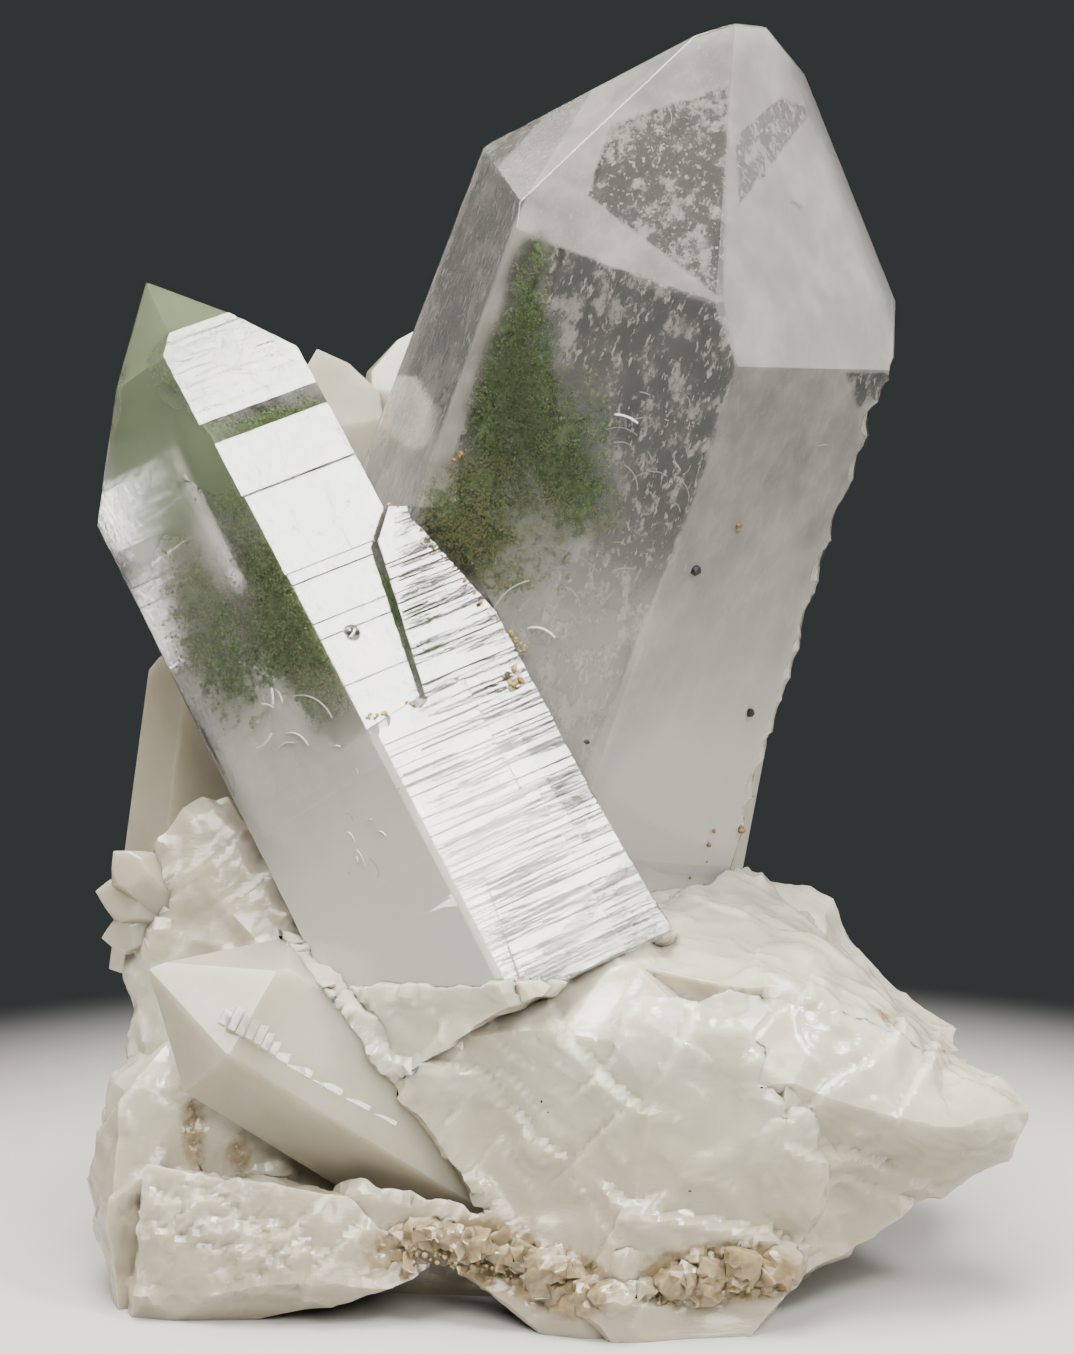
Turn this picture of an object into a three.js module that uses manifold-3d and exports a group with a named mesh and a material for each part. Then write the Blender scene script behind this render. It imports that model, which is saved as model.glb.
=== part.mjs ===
// A cluster of quartz crystals grown on one piece of broken milky quartz, resting on its base.
// Millimetres, +Z up. The cluster is one solid, because the crystals and the base grew together.
// Lean and turn are in degrees: right is +X, forward is -Y, and a turn moves face 0 to the right.

import * as THREE from 'three';
import { ConvexGeometry } from 'three/addons/geometries/ConvexGeometry.js';
import { mergeVertices } from 'three/addons/utils/BufferGeometryUtils.js';
import Module from 'manifold-3d';

const wasm = await Module();
wasm.setup();

// In quartz the terminal faces stand 38.21 degrees back from the prism faces below them.
const terminalAngle = 38.21;
// A crystal's six face distances are measured this far below its tip.
const gaugeDepth = 10;

// The tall clear crystal on the right. Face 0 is its broad front, and the faces go round to the right.
const tallCrystal = {
  tip: [11.83, 6.08, 66.51],
  leanRight: 18.6,
  leanForward: 10.2,
  turn: -12.6,
  taper: 2.04,
  faceDistances: [10.36, 10.82, 11.23, 7.4, 8.6, 10.74],
  tipOffsets: [-0.11, -1.83, 1.49, 0, -1.04, 1.45],
  length: 51,
};

// The lower crystal on the left, which leans out to the left and back. Face 0 is its bright front.
const leaningCrystal = {
  tip: [-21.29, 9.28, 51.8],
  leanRight: -28.76,
  leanForward: -17.04,
  turn: 35.13,
  taper: 0.86,
  faceDistances: [4.94, 5.98, 5.63, 5.63, 7.69, 4.87],
  tipOffsets: [0.95, -0.13, 0, 0, -1.28, 0.44],
  length: 44,
};

// The bright front grew in flat plates, one over the other. Above each of these levels below the
// tip it lies this much further back, and the step between slopes by this angle.
const frontSteps = [
  { start: 11.15, setBack: 0.44, slope: 12 },
  { start: 14.4, setBack: 0.18, slope: 30 },
  { start: 19.1, setBack: 0.08, slope: 30 },
];

// A second plate grew beside the first, on the side of the tall crystal. Its corners lie this far
// below the tip, and this far to the right of the middle of the front. Its hidden faces stay inside
// the crystal, and its own top and left edge end it before the terminal faces would.
const sidePlate = {
  rise: 0.5,
  widthRight: 2.7,
  topCorner: { below: 17.65, across: 4.1 },
  leftEdge: { below: 19, across: 2.57, turn: -11 },
  topTurn: 21,
  hiddenInset: 0.6,
  openTip: 9,
};

// Growth ridges run level across the lower part of the bright front: on the side plate, and on
// the first plate where it ends. A groove between two ridges is a three-sided bar with these ends.
const grooveBar = { left: -6, right: 9, proud: 0.2 };
const growthRidges = [
  { first: 20.2, last: 36, count: 12, rise: 0.5, depth: 0.2, width: 0.45 },
  { first: 28.2, last: 34.5, count: 6, rise: 0, depth: 0.22, width: 0.5 },
];

// The short crystal low on the left, which lies over towards the left.
const lyingCrystal = {
  tip: [-19.9, -5.1, 17.7],
  leanRight: -55.6,
  leanForward: 7.8,
  turn: 23,
  taper: 0.4,
  faceDistances: [3.95, 4.7, 4.2, 4.0, 3.9, 3.85],
  tipOffsets: [0, 0.5, 0, 0, 0.1, 0],
  length: 22,
  gauge: 8,
};

// Slimmer crystals behind the two big ones, and on the hidden side of the base.
const smallCrystals = [
  { tip: [-12, 15.4, 47.5], leanRight: -8, leanForward: -4, turn: 32, radius: 3.3, length: 34 },
  { tip: [-5.9, 19.2, 48.6], leanRight: 4, leanForward: -8, turn: -20, radius: 3.2, length: 32 },
  { tip: [-17.4, 10.3, 33.8], leanRight: 7, leanForward: -3, turn: 14, radius: 2.9, length: 20 },
  { tip: [10.4, 24.6, 29.5], leanRight: 14, leanForward: -28, turn: 8, radius: 3.6, length: 19 },
  { tip: [-13.2, 21.6, 28.4], leanRight: -24, leanForward: -30, turn: 40, radius: 3.3, length: 18 },
  { tip: [-1.6, 26.4, 24.6], leanRight: -6, leanForward: -34, turn: 5, radius: 2.7, length: 14 },
];

// The milky base, as the blocks between its main breaks. Each block is the hull of its corners.
const baseBlocks = {
  core: [
    [-15, -3, -2], [-4, -1.5, -2], [3, -2, -2], [11, -6, -2], [15, -2, -2], [15, 9, -2], [9, 16, -2],
    [-4, 17, -2], [-14, 12, -2], [-18, 3, -2], [-12, -3, 15.5], [4, -5, 17.4], [7, 3, 18.2],
    [11.5, 12.6, 18.2], [4, 18.5, 19.5], [-5, 18.5, 20.4], [-13, 14, 20.6], [-17.5, 8, 20],
    [-17, 3, 17],
  ],
  front: [
    [-10.6, -3.4, 16.6], [-4.5, -6.9, 15], [-0.3, -8.9, 14.4], [2.6, -9.5, 14.9], [5.3, -6.5, 18.1],
    [5.8, 2, 18.9], [-4, 4, 20], [-7.2, -7.6, 4.9], [-4.9, -9.2, 4], [-1.4, -10.3, 3.4],
    [1.5, -11.2, 2.5], [3, -11.5, -2], [9.3, -11, -2], [12.1, -10.6, 2.4], [12.4, -9.9, 11.8],
  ],
  heel: [
    [1.9, -11.4, 2], [3.2, -12.1, 0.9], [5.1, -12, -2], [9.2, -11.7, -2], [12.3, -11.2, 2.2],
    [13.5, -9.4, 3.4], [9.5, -10.9, 4.6], [3.5, -11.3, 4.4], [5, -4, -2], [12, -4, -2],
  ],
  slab: [
    [6.2, 1.6, 18.6], [11.6, 12.8, 19.2], [13.2, 12.7, 17.4], [14.2, 9.6, 16.2], [16.2, 8.3, 14.7],
    [19.7, 5.8, 13.1], [22.6, 3.4, 11.2], [19.9, -4.3, 13.3], [15, -6.9, 15.9], [12.7, -6.7, 16.8],
    [9.6, -6.7, 17.3], [5.3, -5.9, 18.1], [6.2, -4, 10], [8, 8, 8], [18.6, 4.8, 8],
  ],
  ledge: [
    [12.9, -9.6, 12.9], [15.2, -9.3, 11.9], [18.4, -8.7, 10.8], [20.9, -7.8, 10.1], [24.6, -5, 9.1],
    [25.7, -3.8, 9.9], [24.5, -0.7, 10.6], [22.9, 2.3, 10.8], [24.5, -3.4, 7], [22.3, -3.6, 6],
    [19.5, -5.6, 5.6], [15.6, -7.3, 5.4], [12, -4, 14.6], [17.2, -4, 13.4], [12, 4, 6], [19, 4, 7.5],
  ],
  shoulder: [
    [9.6, -6.8, 17], [15, -7, 15.7], [19.9, -4.9, 13.1], [23, 1.6, 10.9], [12.9, -9.6, 12.9],
    [15.2, -9.3, 11.9], [18.4, -8.6, 10.9], [20.9, -7.7, 10.1], [5.6, -8, 15.6], [6.8, -9.3, 13],
    [12, -4, 8], [18, 0, 8],
  ],
  underside: [
    [19.5, -5.7, 5.8], [17.5, -7, 4], [16.4, -8, 4.1], [14.4, -9, 3.9], [13.3, -9.4, 2.9],
    [12.4, -10, 9.5], [12.6, -9.7, 12.6], [17, -7.4, 8.4], [10, 6, 0.5], [17, 5.5, 5], [11, -6, 0.5],
  ],
  backShelf: [
    [11.8, 14.8, 18.1], [15.2, 14.7, 17.3], [16.4, 14.5, 16.3], [19.7, 13.2, 14.9], [22.2, 11.6, 11.6],
    [23.1, 10.4, 10.6], [22, 5, 9.5], [12, 8, 16], [11, 19, 9], [18, 16.5, 7], [14, 10, 3],
  ],
  backFoot: [
    [-9, 14, -2], [-10.5, 17, -2], [-3, 20.5, -2], [7, 20, -2], [14, 12, -2], [-5, 24.2, 6.5],
    [5.5, 24, 7.5], [12.5, 19.5, 8.5], [9, 21.5, 15.5], [2, 24.6, 16.8], [-7, 25, 17.6],
    [-12.5, 22, 16.4], [-15.5, 16, 15.5], [-14.5, 15, 6],
  ],
  leftWall: [
    [-21.5, 3, 16.6], [-21.6, 2.2, 15.4], [-21.2, 1.4, 11.2], [-20, -1, 11], [-14, -1.6, 17.8],
    [-19.8, 2.6, 22.8], [-18.1, 3.7, 24.3], [-16.4, 3.8, 24.9], [-12.6, -1, 18.4], [-12, 6, 22],
    [-18.5, 10.5, 19], [-20.5, 10, 8], [-14, 12, 6], [-15, -2, 7],
  ],
  leftFoot: [
    [-18.9, -1.3, 13.1], [-22.1, -1.8, 10.8], [-21.3, -4.3, 11], [-17.6, -4.6, 11.4], [-23.8, -1.4, 6.8],
    [-22.1, -6.6, 4.7], [-22.9, -3.1, 2.8], [-21.4, -6.7, -2], [-21, 4.4, -2], [-22.4, 4.8, 8],
    [-20, 8.5, 10], [-14, 5, -2], [-13.9, -2.8, -2], [-12, -3.2, 8], [-17.3, -5.2, 6.2],
  ],
  chippedLedge: [
    [-19.9, -6.8, 7.7], [-20.4, -7.7, 5.3], [-21.3, -7.1, -2], [-20.5, -8.4, 1.4], [-16.5, -9.6, 1.7],
    [-13.9, -9.9, 2.4], [-13, -6.5, 1.5], [-5.6, -9.9, 2.6], [-5, -9.6, 3.3], [-6.6, -9.2, 4.3],
    [-9.7, -8.1, 6.2], [-12.6, -7.4, 5.9], [-17.2, -7.2, 7.1], [-9, -4, 2], [-14, -3, 6],
  ],
};

// Stubby points on the left flank.
const flankPoints = [
  { tip: [-23.3, 1.9, 20.2], leanRight: -76, leanForward: 18, turn: 12, radius: 1.6, length: 4 },
  { tip: [-22.3, 1.8, 22.4], leanRight: -42, leanForward: 12, turn: 5, radius: 1.3, length: 4 },
  { tip: [-23, 1.7, 17.7], leanRight: -100, leanForward: 20, turn: 0, radius: 1.1, length: 4 },
];

// Round shell breaks, cut by spheres: the middle of the break, how it faces, its width and depth.
const shellBreaks = [
  { at: [-2.6, -9, 9.6], facing: [-0.15, -1, 0.1], width: 15.5, depth: 1.5 },
  { at: [9.3, -10.8, 6.2], facing: [0.1, -1, 0], width: 10.5, depth: 0.8 },
  { at: [17.6, -7.9, 8], facing: [0.25, -1, -0.55], width: 6.5, depth: 0.8 },
  { at: [-11.2, -5.1, 13.2], facing: [-0.5, -1, 0.3], width: 5, depth: 0.7 },
  { at: [19.5, 7.5, 12.7], facing: [0.6, 0.35, 1], width: 7, depth: 0.7 },
  { at: [-1, 24.3, 10], facing: [0, 1, -0.1], width: 12, depth: 1.2 },
  { at: [10.5, 21, 11.5], facing: [0.6, 1, 0.1], width: 8, depth: 0.9 },
  { at: [-18.4, 9.8, 13], facing: [-0.8, 0.7, 0.2], width: 8, depth: 0.9 },
  { at: [-23, 0.5, 7], facing: [-1, -0.1, 0.25], width: 5.5, depth: 0.5 },
];

// A flat shell of quartz left standing on the front of the base, as a lens.
const shellFlake = { at: [6.9, -9.4, 12.6], radius: 4.5, thickness: 0.9, facing: [0.06, -1, 0.1] };

// The rough rim low on the base, made of angular crumbs in rows. They differ in size and shape by a
// plain repeatable row of numbers, which starts from the seed.
const crumbSeed = 20817;
const crumbShape = { smallest: 0.65, largest: 1.15, long: [0.8, 1.3], wide: [0.6, 1], high: [0.6, 1.1] };
const crumbRows = [
  { from: [-7.2, -8.2, 4.9], to: [1.8, -10.7, 3.3], count: 14, size: 0.95 },
  { from: [3.6, -11.2, 2.6], to: [12.8, -10.1, 3], count: 13, size: 1.05 },
  { from: [-19.6, -7.6, 2.3], to: [-6, -9, 3.2], count: 12, size: 0.9 },
  { from: [-9, 20.3, 2.6], to: [10, 20.4, 2.6], count: 11, size: 1.2 },
];

// Splinters gone from the right edge of the tall crystal: distance below its tip, depth and reach.
// Each is split off by a wedge this wide, which stands proud of the edge and slants across it.
const chipWedge = { halfWidth: 3, proud: 0.8, top: 0.6, notch: 0.2, slant: 0.15 };
const edgeChips = [
  { below: 15.2, depth: 0.4, reach: 1 }, { below: 18.6, depth: 0.75, reach: 2.4 },
  { below: 21.2, depth: 0.35, reach: 1.1 }, { below: 24.4, depth: 0.85, reach: 2.8 },
  { below: 27.4, depth: 0.4, reach: 1.3 }, { below: 30.9, depth: 0.7, reach: 3 },
];

// The blocks that cut a crystal or the base reach this far past it, and corners closer than the
// tolerance are one corner.
const cutterReach = 20;
const groundSize = 120;
const tolerance = 1e-4;

// A plain repeatable row of numbers from 0 to 1, so that the crumbs differ but never change.
function makeRandom(seed) {
  const multiplier = 16807;
  const modulus = 2147483647;
  let state = seed;
  return () => {
    state = (state * multiplier) % modulus;
    return state / modulus;
  };
}

const between = ([low, high], random) => low + (high - low) * random();

function toSolid(geometry) {
  const bare = geometry.clone();
  bare.deleteAttribute('normal');
  bare.deleteAttribute('uv');
  const merged = mergeVertices(bare, tolerance);
  const mesh = new wasm.Mesh({
    numProp: 3,
    vertProperties: Float32Array.from(merged.attributes.position.array),
    triVerts: Uint32Array.from(merged.index.array),
  });
  return new wasm.Manifold(mesh);
}

function toGeometry(solid) {
  const mesh = solid.getMesh();
  const geometry = new THREE.BufferGeometry();
  geometry.setAttribute('position', new THREE.BufferAttribute(mesh.vertProperties, 3));
  geometry.setIndex(new THREE.BufferAttribute(mesh.triVerts, 1));
  return geometry;
}

const vector = (corner) => new THREE.Vector3(...corner);
const radians = THREE.MathUtils.degToRad;
const hullOf = (corners) => toSolid(new ConvexGeometry(corners.map(vector)));

// The long axis of a crystal, and two directions across it: to its right, and out of face 0.
function crystalAxes({ leanRight, leanForward, turn }) {
  const right = radians(leanRight);
  const forward = radians(leanForward);
  const along = new THREE.Vector3(
    Math.sin(right) * Math.cos(forward),
    -Math.sin(forward),
    Math.cos(right) * Math.cos(forward),
  );
  const sideways = new THREE.Vector3(Math.cos(right), 0, -Math.sin(right));
  const outward = new THREE.Vector3().crossVectors(sideways, along);
  const spin = radians(turn);
  return {
    along,
    outward: outward.clone().multiplyScalar(Math.cos(spin)).addScaledVector(sideways, Math.sin(spin)),
    sideways: sideways.clone().multiplyScalar(Math.cos(spin)).addScaledVector(outward, -Math.sin(spin)),
  };
}

function planeAt(normal, point) {
  return new THREE.Plane().setFromNormalAndCoplanarPoint(normal.clone().normalize(), point);
}

// The direction square to face number k.
function faceNormal(axes, k) {
  const angle = radians(60 * k);
  const normal = axes.outward.clone().multiplyScalar(Math.cos(angle));
  return normal.addScaledVector(axes.sideways, Math.sin(angle));
}

// The thirteen planes that close a crystal: six prism faces, six terminal faces and its root.
function crystalPlanes(crystal) {
  const axes = crystalAxes(crystal);
  const tip = vector(crystal.tip);
  const taper = radians(crystal.taper);
  const gauge = tip.clone().addScaledVector(axes.along, -(crystal.gauge ?? gaugeDepth));
  const planes = [];
  for (let k = 0; k < 6; k += 1) {
    const normal = faceNormal(axes, k);
    const leaning = normal.clone().multiplyScalar(Math.cos(taper));
    leaning.addScaledVector(axes.along, Math.sin(taper));
    planes.push(planeAt(leaning, gauge.clone().addScaledVector(normal, crystal.faceDistances[k])));
  }
  for (let k = 0; k < 6; k += 1) {
    const normal = faceNormal(axes, k).multiplyScalar(Math.cos(radians(terminalAngle)));
    normal.addScaledVector(axes.along, Math.sin(radians(terminalAngle)));
    planes.push(planeAt(normal, tip.clone().addScaledVector(axes.along, crystal.tipOffsets[k])));
  }
  const root = tip.clone().addScaledVector(axes.along, -crystal.length);
  planes.push(planeAt(axes.along.clone().negate(), root));
  return planes;
}

// Where three planes meet, or nothing when two of them are parallel.
function meetingPoint(a, b, c) {
  const across = new THREE.Vector3().crossVectors(b.normal, c.normal);
  const spread = a.normal.dot(across);
  if (Math.abs(spread) < tolerance * tolerance) return null;
  const point = across.multiplyScalar(-a.constant);
  point.addScaledVector(new THREE.Vector3().crossVectors(c.normal, a.normal), -b.constant);
  point.addScaledVector(new THREE.Vector3().crossVectors(a.normal, b.normal), -c.constant);
  return point.divideScalar(spread);
}

// The solid inside all the planes, found from its corners.
function solidInside(planes) {
  const corners = [];
  for (let i = 0; i < planes.length; i += 1) {
    for (let j = i + 1; j < planes.length; j += 1) {
      for (let k = j + 1; k < planes.length; k += 1) {
        const point = meetingPoint(planes[i], planes[j], planes[k]);
        if (!point) continue;
        const inside = planes.every((plane) => plane.distanceToPoint(point) < tolerance);
        const known = corners.some((corner) => corner.distanceTo(point) < 10 * tolerance);
        if (inside && !known) corners.push(point);
      }
    }
  }
  return toSolid(new ConvexGeometry(corners));
}

// A smaller crystal with six equal faces, given by one radius.
function evenCrystal({ radius, ...rest }) {
  return {
    ...rest,
    taper: 1,
    gauge: radius * 2,
    faceDistances: [radius, radius * 0.94, radius * 1.05, radius, radius * 0.96, radius * 1.03],
    tipOffsets: [0, radius * 0.3, 0, radius * 0.2, 0, radius * 0.35],
  };
}

// A point on face 0 of a crystal, below its tip and to the right of the middle of the face.
function pointOnFront(crystal, { below, across }, rise) {
  const axes = crystalAxes(crystal);
  const widening = Math.sin(radians(crystal.taper)) * (below - gaugeDepth);
  return vector(crystal.tip)
    .addScaledVector(axes.along, -below)
    .addScaledVector(axes.outward, crystal.faceDistances[0] + rise + widening)
    .addScaledVector(axes.sideways, across);
}

// What is missing from face 0 above a step, as a block that reaches past the crystal on all sides.
function aboveStep(crystal, { start, setBack, slope }, setBackBelow) {
  const { along, outward, sideways } = crystalAxes(crystal);
  const front = crystalPlanes(crystal)[0].normal;
  const foot = pointOnFront(crystal, { below: start, across: 0 }, -setBackBelow);
  const floor = pointOnFront(crystal, { below: start, across: 0 }, -setBack);
  const riser = outward.clone()
    .multiplyScalar(Math.cos(radians(slope)))
    .addScaledVector(along, Math.sin(radians(slope)));
  return solidInside([
    planeAt(front.clone().negate(), floor),
    planeAt(riser.negate(), foot),
    planeAt(along, foot.clone().addScaledVector(along, cutterReach)),
    planeAt(outward, foot.clone().addScaledVector(outward, cutterReach)),
    planeAt(sideways, foot.clone().addScaledVector(sideways, cutterReach)),
    planeAt(sideways.clone().negate(), foot.clone().addScaledVector(sideways, -cutterReach)),
  ]);
}

// The plate beside the first: wider to the right, with a broken left edge down the front.
function buildSidePlate(crystal, plate) {
  const { hiddenInset, openTip } = plate;
  const faceDistances = crystal.faceDistances.map((distance) => distance - hiddenInset);
  faceDistances[0] = crystal.faceDistances[0] + plate.rise;
  faceDistances[1] = crystal.faceDistances[1] + plate.widthRight;
  const tipOffsets = [openTip, openTip, 0, 0, 0, openTip];
  const planes = crystalPlanes({ ...crystal, faceDistances, tipOffsets });
  const { along, outward, sideways } = crystalAxes(crystal);
  const corner = pointOnFront(crystal, plate.topCorner, plate.rise);
  const top = along.clone().applyAxisAngle(outward, radians(-plate.topTurn));
  planes.push(planeAt(top, corner));
  planes.push(planeAt(along.clone().sub(sideways), corner));
  const left = sideways.clone().negate().applyAxisAngle(outward, radians(plate.leftEdge.turn));
  planes.push(planeAt(left, pointOnFront(crystal, plate.leftEdge, plate.rise)));
  return solidInside(planes);
}

// One shallow level groove across face 0, as a three-sided bar.
function levelGroove(crystal, below, { rise, depth, width }) {
  const { along, outward, sideways } = crystalAxes(crystal);
  const middle = pointOnFront(crystal, { below, across: 0 }, rise);
  const corners = [];
  const section = [[0, -depth], [width / 2, grooveBar.proud], [-width, grooveBar.proud]];
  for (const end of [grooveBar.left, grooveBar.right]) {
    for (const [up, out] of section) {
      corners.push(middle.clone()
        .addScaledVector(sideways, end)
        .addScaledVector(along, up)
        .addScaledVector(outward, out));
    }
  }
  return toSolid(new ConvexGeometry(corners));
}

// The grooves lie unevenly: every second and third one is shifted by a quarter and a half step.
function cutGrowthRidges(solid, crystal, ridges) {
  let cut = solid;
  const even = (ridges.last - ridges.first) / (ridges.count - 1);
  for (let i = 0; i < ridges.count; i += 1) {
    const below = ridges.first + even * (i + 0.25 * (i % 3));
    cut = cut.subtract(levelGroove(crystal, below, ridges));
  }
  return cut;
}

// The sphere that leaves a round shell break of the given width and depth. A larger sphere has
// finer facets for its size, so that every break has facets of about the same width.
function breakSphere({ at, facing, width, depth }) {
  const radius = (width * width) / (8 * depth) + depth / 2;
  const centre = vector(at).addScaledVector(vector(facing).normalize(), radius - depth);
  const detail = THREE.MathUtils.clamp(Math.round(radius * 0.55), 4, 11);
  const sphere = new THREE.IcosahedronGeometry(radius, detail);
  sphere.translate(centre.x, centre.y, centre.z);
  return toSolid(sphere);
}

function buildFlake({ at, radius, thickness, facing }) {
  const lens = new THREE.IcosahedronGeometry(1, 3);
  lens.scale(radius, radius, thickness);
  const turnTo = new THREE.Quaternion().setFromUnitVectors(
    new THREE.Vector3(0, 0, 1),
    vector(facing).normalize(),
  );
  lens.applyQuaternion(turnTo);
  lens.translate(...at);
  return toSolid(lens);
}

// An angular crumb: a stretched twenty-sided lump, turned at random.
function buildCrumb(centre, size, random) {
  const { long, wide, high } = crumbShape;
  const lump = new THREE.IcosahedronGeometry(size, 0);
  lump.scale(between(long, random), between(wide, random), between(high, random));
  lump.rotateX(random() * Math.PI);
  lump.rotateY(random() * Math.PI);
  lump.rotateZ(random() * Math.PI);
  lump.translate(centre.x, centre.y, centre.z);
  return toSolid(lump);
}

function buildCrumbRow({ from, to, count, size }, random) {
  const crumbs = [];
  for (let i = 0; i < count; i += 1) {
    const centre = vector(from).lerp(vector(to), (i + 0.5) / count);
    centre.z += between([-size / 2, size / 2], random);
    centre.y += between([-size / 4, size / 4], random);
    const share = between([crumbShape.smallest, crumbShape.largest], random);
    crumbs.push(buildCrumb(centre, size * share, random));
  }
  return crumbs;
}

// A wedge that splits a splinter off the edge between faces 1 and 2 of the tall crystal.
function buildEdgeChip(crystal, { below, depth, reach }) {
  const axes = crystalAxes(crystal);
  const planes = crystalPlanes(crystal);
  const level = planeAt(axes.along, vector(crystal.tip).addScaledVector(axes.along, -below));
  const edge = meetingPoint(planes[1], planes[2], level);
  const outward = faceNormal(axes, 1.5);
  const across = new THREE.Vector3().crossVectors(axes.along, outward);
  const { halfWidth, proud, top, notch, slant } = chipWedge;
  const corners = [];
  for (const side of [-halfWidth, halfWidth]) {
    for (const [rise, out] of [[top, proud], [notch, -depth], [-reach, proud]]) {
      corners.push(edge.clone()
        .addScaledVector(across, side)
        .addScaledVector(axes.along, rise + side * slant)
        .addScaledVector(outward, out));
    }
  }
  return toSolid(new ConvexGeometry(corners));
}

// The largest of the separate bodies: what lies sealed between the blocks is quartz as well.
function outerBody(solid) {
  const bodies = solid.decompose();
  return bodies.reduce((largest, body) => (body.volume() > largest.volume() ? body : largest));
}

// Everything below the surface that the cluster rests on.
function belowRest() {
  const ground = new THREE.BoxGeometry(groundSize, groundSize, groundSize);
  ground.translate(0, 0, -groundSize / 2);
  return toSolid(ground);
}

function buildLeaningCrystal() {
  const [sideRidges, frontRidges] = growthRidges;
  let solid = solidInside(crystalPlanes(leaningCrystal));
  frontSteps.forEach((step, i) => {
    const setBackBelow = frontSteps[i + 1]?.setBack ?? 0;
    solid = solid.subtract(aboveStep(leaningCrystal, step, setBackBelow));
  });
  solid = cutGrowthRidges(solid, leaningCrystal, frontRidges);
  const side = buildSidePlate(leaningCrystal, sidePlate);
  return solid.add(cutGrowthRidges(side, leaningCrystal, sideRidges));
}

function buildTallCrystal() {
  let solid = solidInside(crystalPlanes(tallCrystal));
  for (const chip of edgeChips) {
    solid = solid.subtract(buildEdgeChip(tallCrystal, chip));
  }
  return solid;
}

function buildBase() {
  const random = makeRandom(crumbSeed);
  let solid = hullOf(baseBlocks.core);
  for (const [name, corners] of Object.entries(baseBlocks)) {
    if (name !== 'core') solid = solid.add(hullOf(corners));
  }
  solid = solid.add(buildFlake(shellFlake));
  for (const cut of shellBreaks) {
    solid = solid.subtract(breakSphere(cut));
  }
  for (const row of crumbRows) {
    for (const crumb of buildCrumbRow(row, random)) {
      solid = solid.add(crumb);
    }
  }
  return solid;
}

function buildCluster() {
  let solid = buildBase();
  solid = solid.add(buildTallCrystal());
  solid = solid.add(buildLeaningCrystal());
  solid = solid.add(solidInside(crystalPlanes(lyingCrystal)));
  for (const small of [...smallCrystals, ...flankPoints]) {
    solid = solid.add(solidInside(crystalPlanes(evenCrystal(small))));
  }
  return outerBody(solid.subtract(belowRest()));
}

// The origin is the middle of the cluster's footprint, on the surface it rests on.
function centreOnFootprint(geometry) {
  geometry.computeBoundingBox();
  const { min, max } = geometry.boundingBox;
  geometry.translate(-(min.x + max.x) / 2, -(min.y + max.y) / 2, -min.z);
}

const quartz = new THREE.MeshStandardMaterial({ color: 0xd8d6cd, roughness: 0.25, metalness: 0 });
const clusterGeometry = toGeometry(buildCluster());
centreOnFootprint(clusterGeometry);
clusterGeometry.computeVertexNormals();

const cluster = new THREE.Mesh(clusterGeometry, quartz);
cluster.name = 'quartz_cluster';

const group = new THREE.Group();
group.add(cluster);

export default group;
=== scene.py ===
import math
import random

import bpy
from mathutils import Matrix, Vector


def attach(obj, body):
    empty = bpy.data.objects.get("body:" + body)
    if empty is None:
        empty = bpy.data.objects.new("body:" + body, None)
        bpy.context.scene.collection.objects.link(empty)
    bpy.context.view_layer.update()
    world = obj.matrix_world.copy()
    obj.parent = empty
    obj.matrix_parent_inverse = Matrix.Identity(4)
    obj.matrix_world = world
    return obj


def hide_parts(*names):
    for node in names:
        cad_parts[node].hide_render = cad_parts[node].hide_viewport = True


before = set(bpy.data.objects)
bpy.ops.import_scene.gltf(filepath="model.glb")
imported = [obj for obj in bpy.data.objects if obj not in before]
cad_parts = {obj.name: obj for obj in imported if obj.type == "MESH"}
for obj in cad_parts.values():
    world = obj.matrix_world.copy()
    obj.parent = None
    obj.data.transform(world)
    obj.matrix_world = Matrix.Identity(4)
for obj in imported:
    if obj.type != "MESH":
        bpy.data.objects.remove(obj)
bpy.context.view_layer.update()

mm = 0.001
footprintCentre = Vector((1.135, 7.484, 0))  # in millimetres, as all places and sizes below
print("frame loaded")


# Places and directions

def place(point):  # metres from the middle of the footprint
    return (Vector(point) - footprintCentre) * mm


def direction(azimuth, elevation):  # azimuth 0 is towards the viewer, 90 to the right
    a, e = math.radians(azimuth), math.radians(elevation)
    return Vector((math.sin(a) * math.cos(e), -math.cos(a) * math.cos(e), math.sin(e)))


# Where the camera and the lamps stand, also for the ridges that catch the light

camera = {"aim": (0, 0, 32), "distance": 234, "elevation": 10, "lens": 120}

lights = {
    "window": {"towards": (60, 46), "distance": 420, "size": 90, "power": 2.0, "colour": (1, 0.98, 0.95)},
    "sky": {"towards": (-90, 85), "distance": 420, "size": 230, "power": 5.5, "colour": (1, 0.97, 0.9)},
    "left": {"towards": (-35, 52), "distance": 500, "size": 260, "power": 3.3, "colour": (1, 0.97, 0.9)},
    "right": {"towards": (90, 14), "distance": 500, "size": 320, "power": 1.0, "colour": (1, 0.97, 0.9)},
    "front": {"towards": (18, 34), "distance": 560, "size": 260, "power": 2.7, "colour": (1, 0.97, 0.9)},
}


# Working in the viewport, from code

def startClean():
    if bpy.context.object and bpy.context.object.mode != "OBJECT":
        bpy.ops.object.mode_set(mode="OBJECT")
    bpy.ops.object.select_all(action="DESELECT")


def pick(*pieces):
    startClean()
    for piece in pieces:
        piece.select_set(True)
    bpy.context.view_layer.objects.active = pieces[0]
    return pieces[0]


def editMode(piece):
    pick(piece)
    bpy.ops.object.mode_set(mode="EDIT")
    bpy.ops.mesh.select_all(action="SELECT")


def objectMode():
    bpy.ops.object.mode_set(mode="OBJECT")


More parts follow.
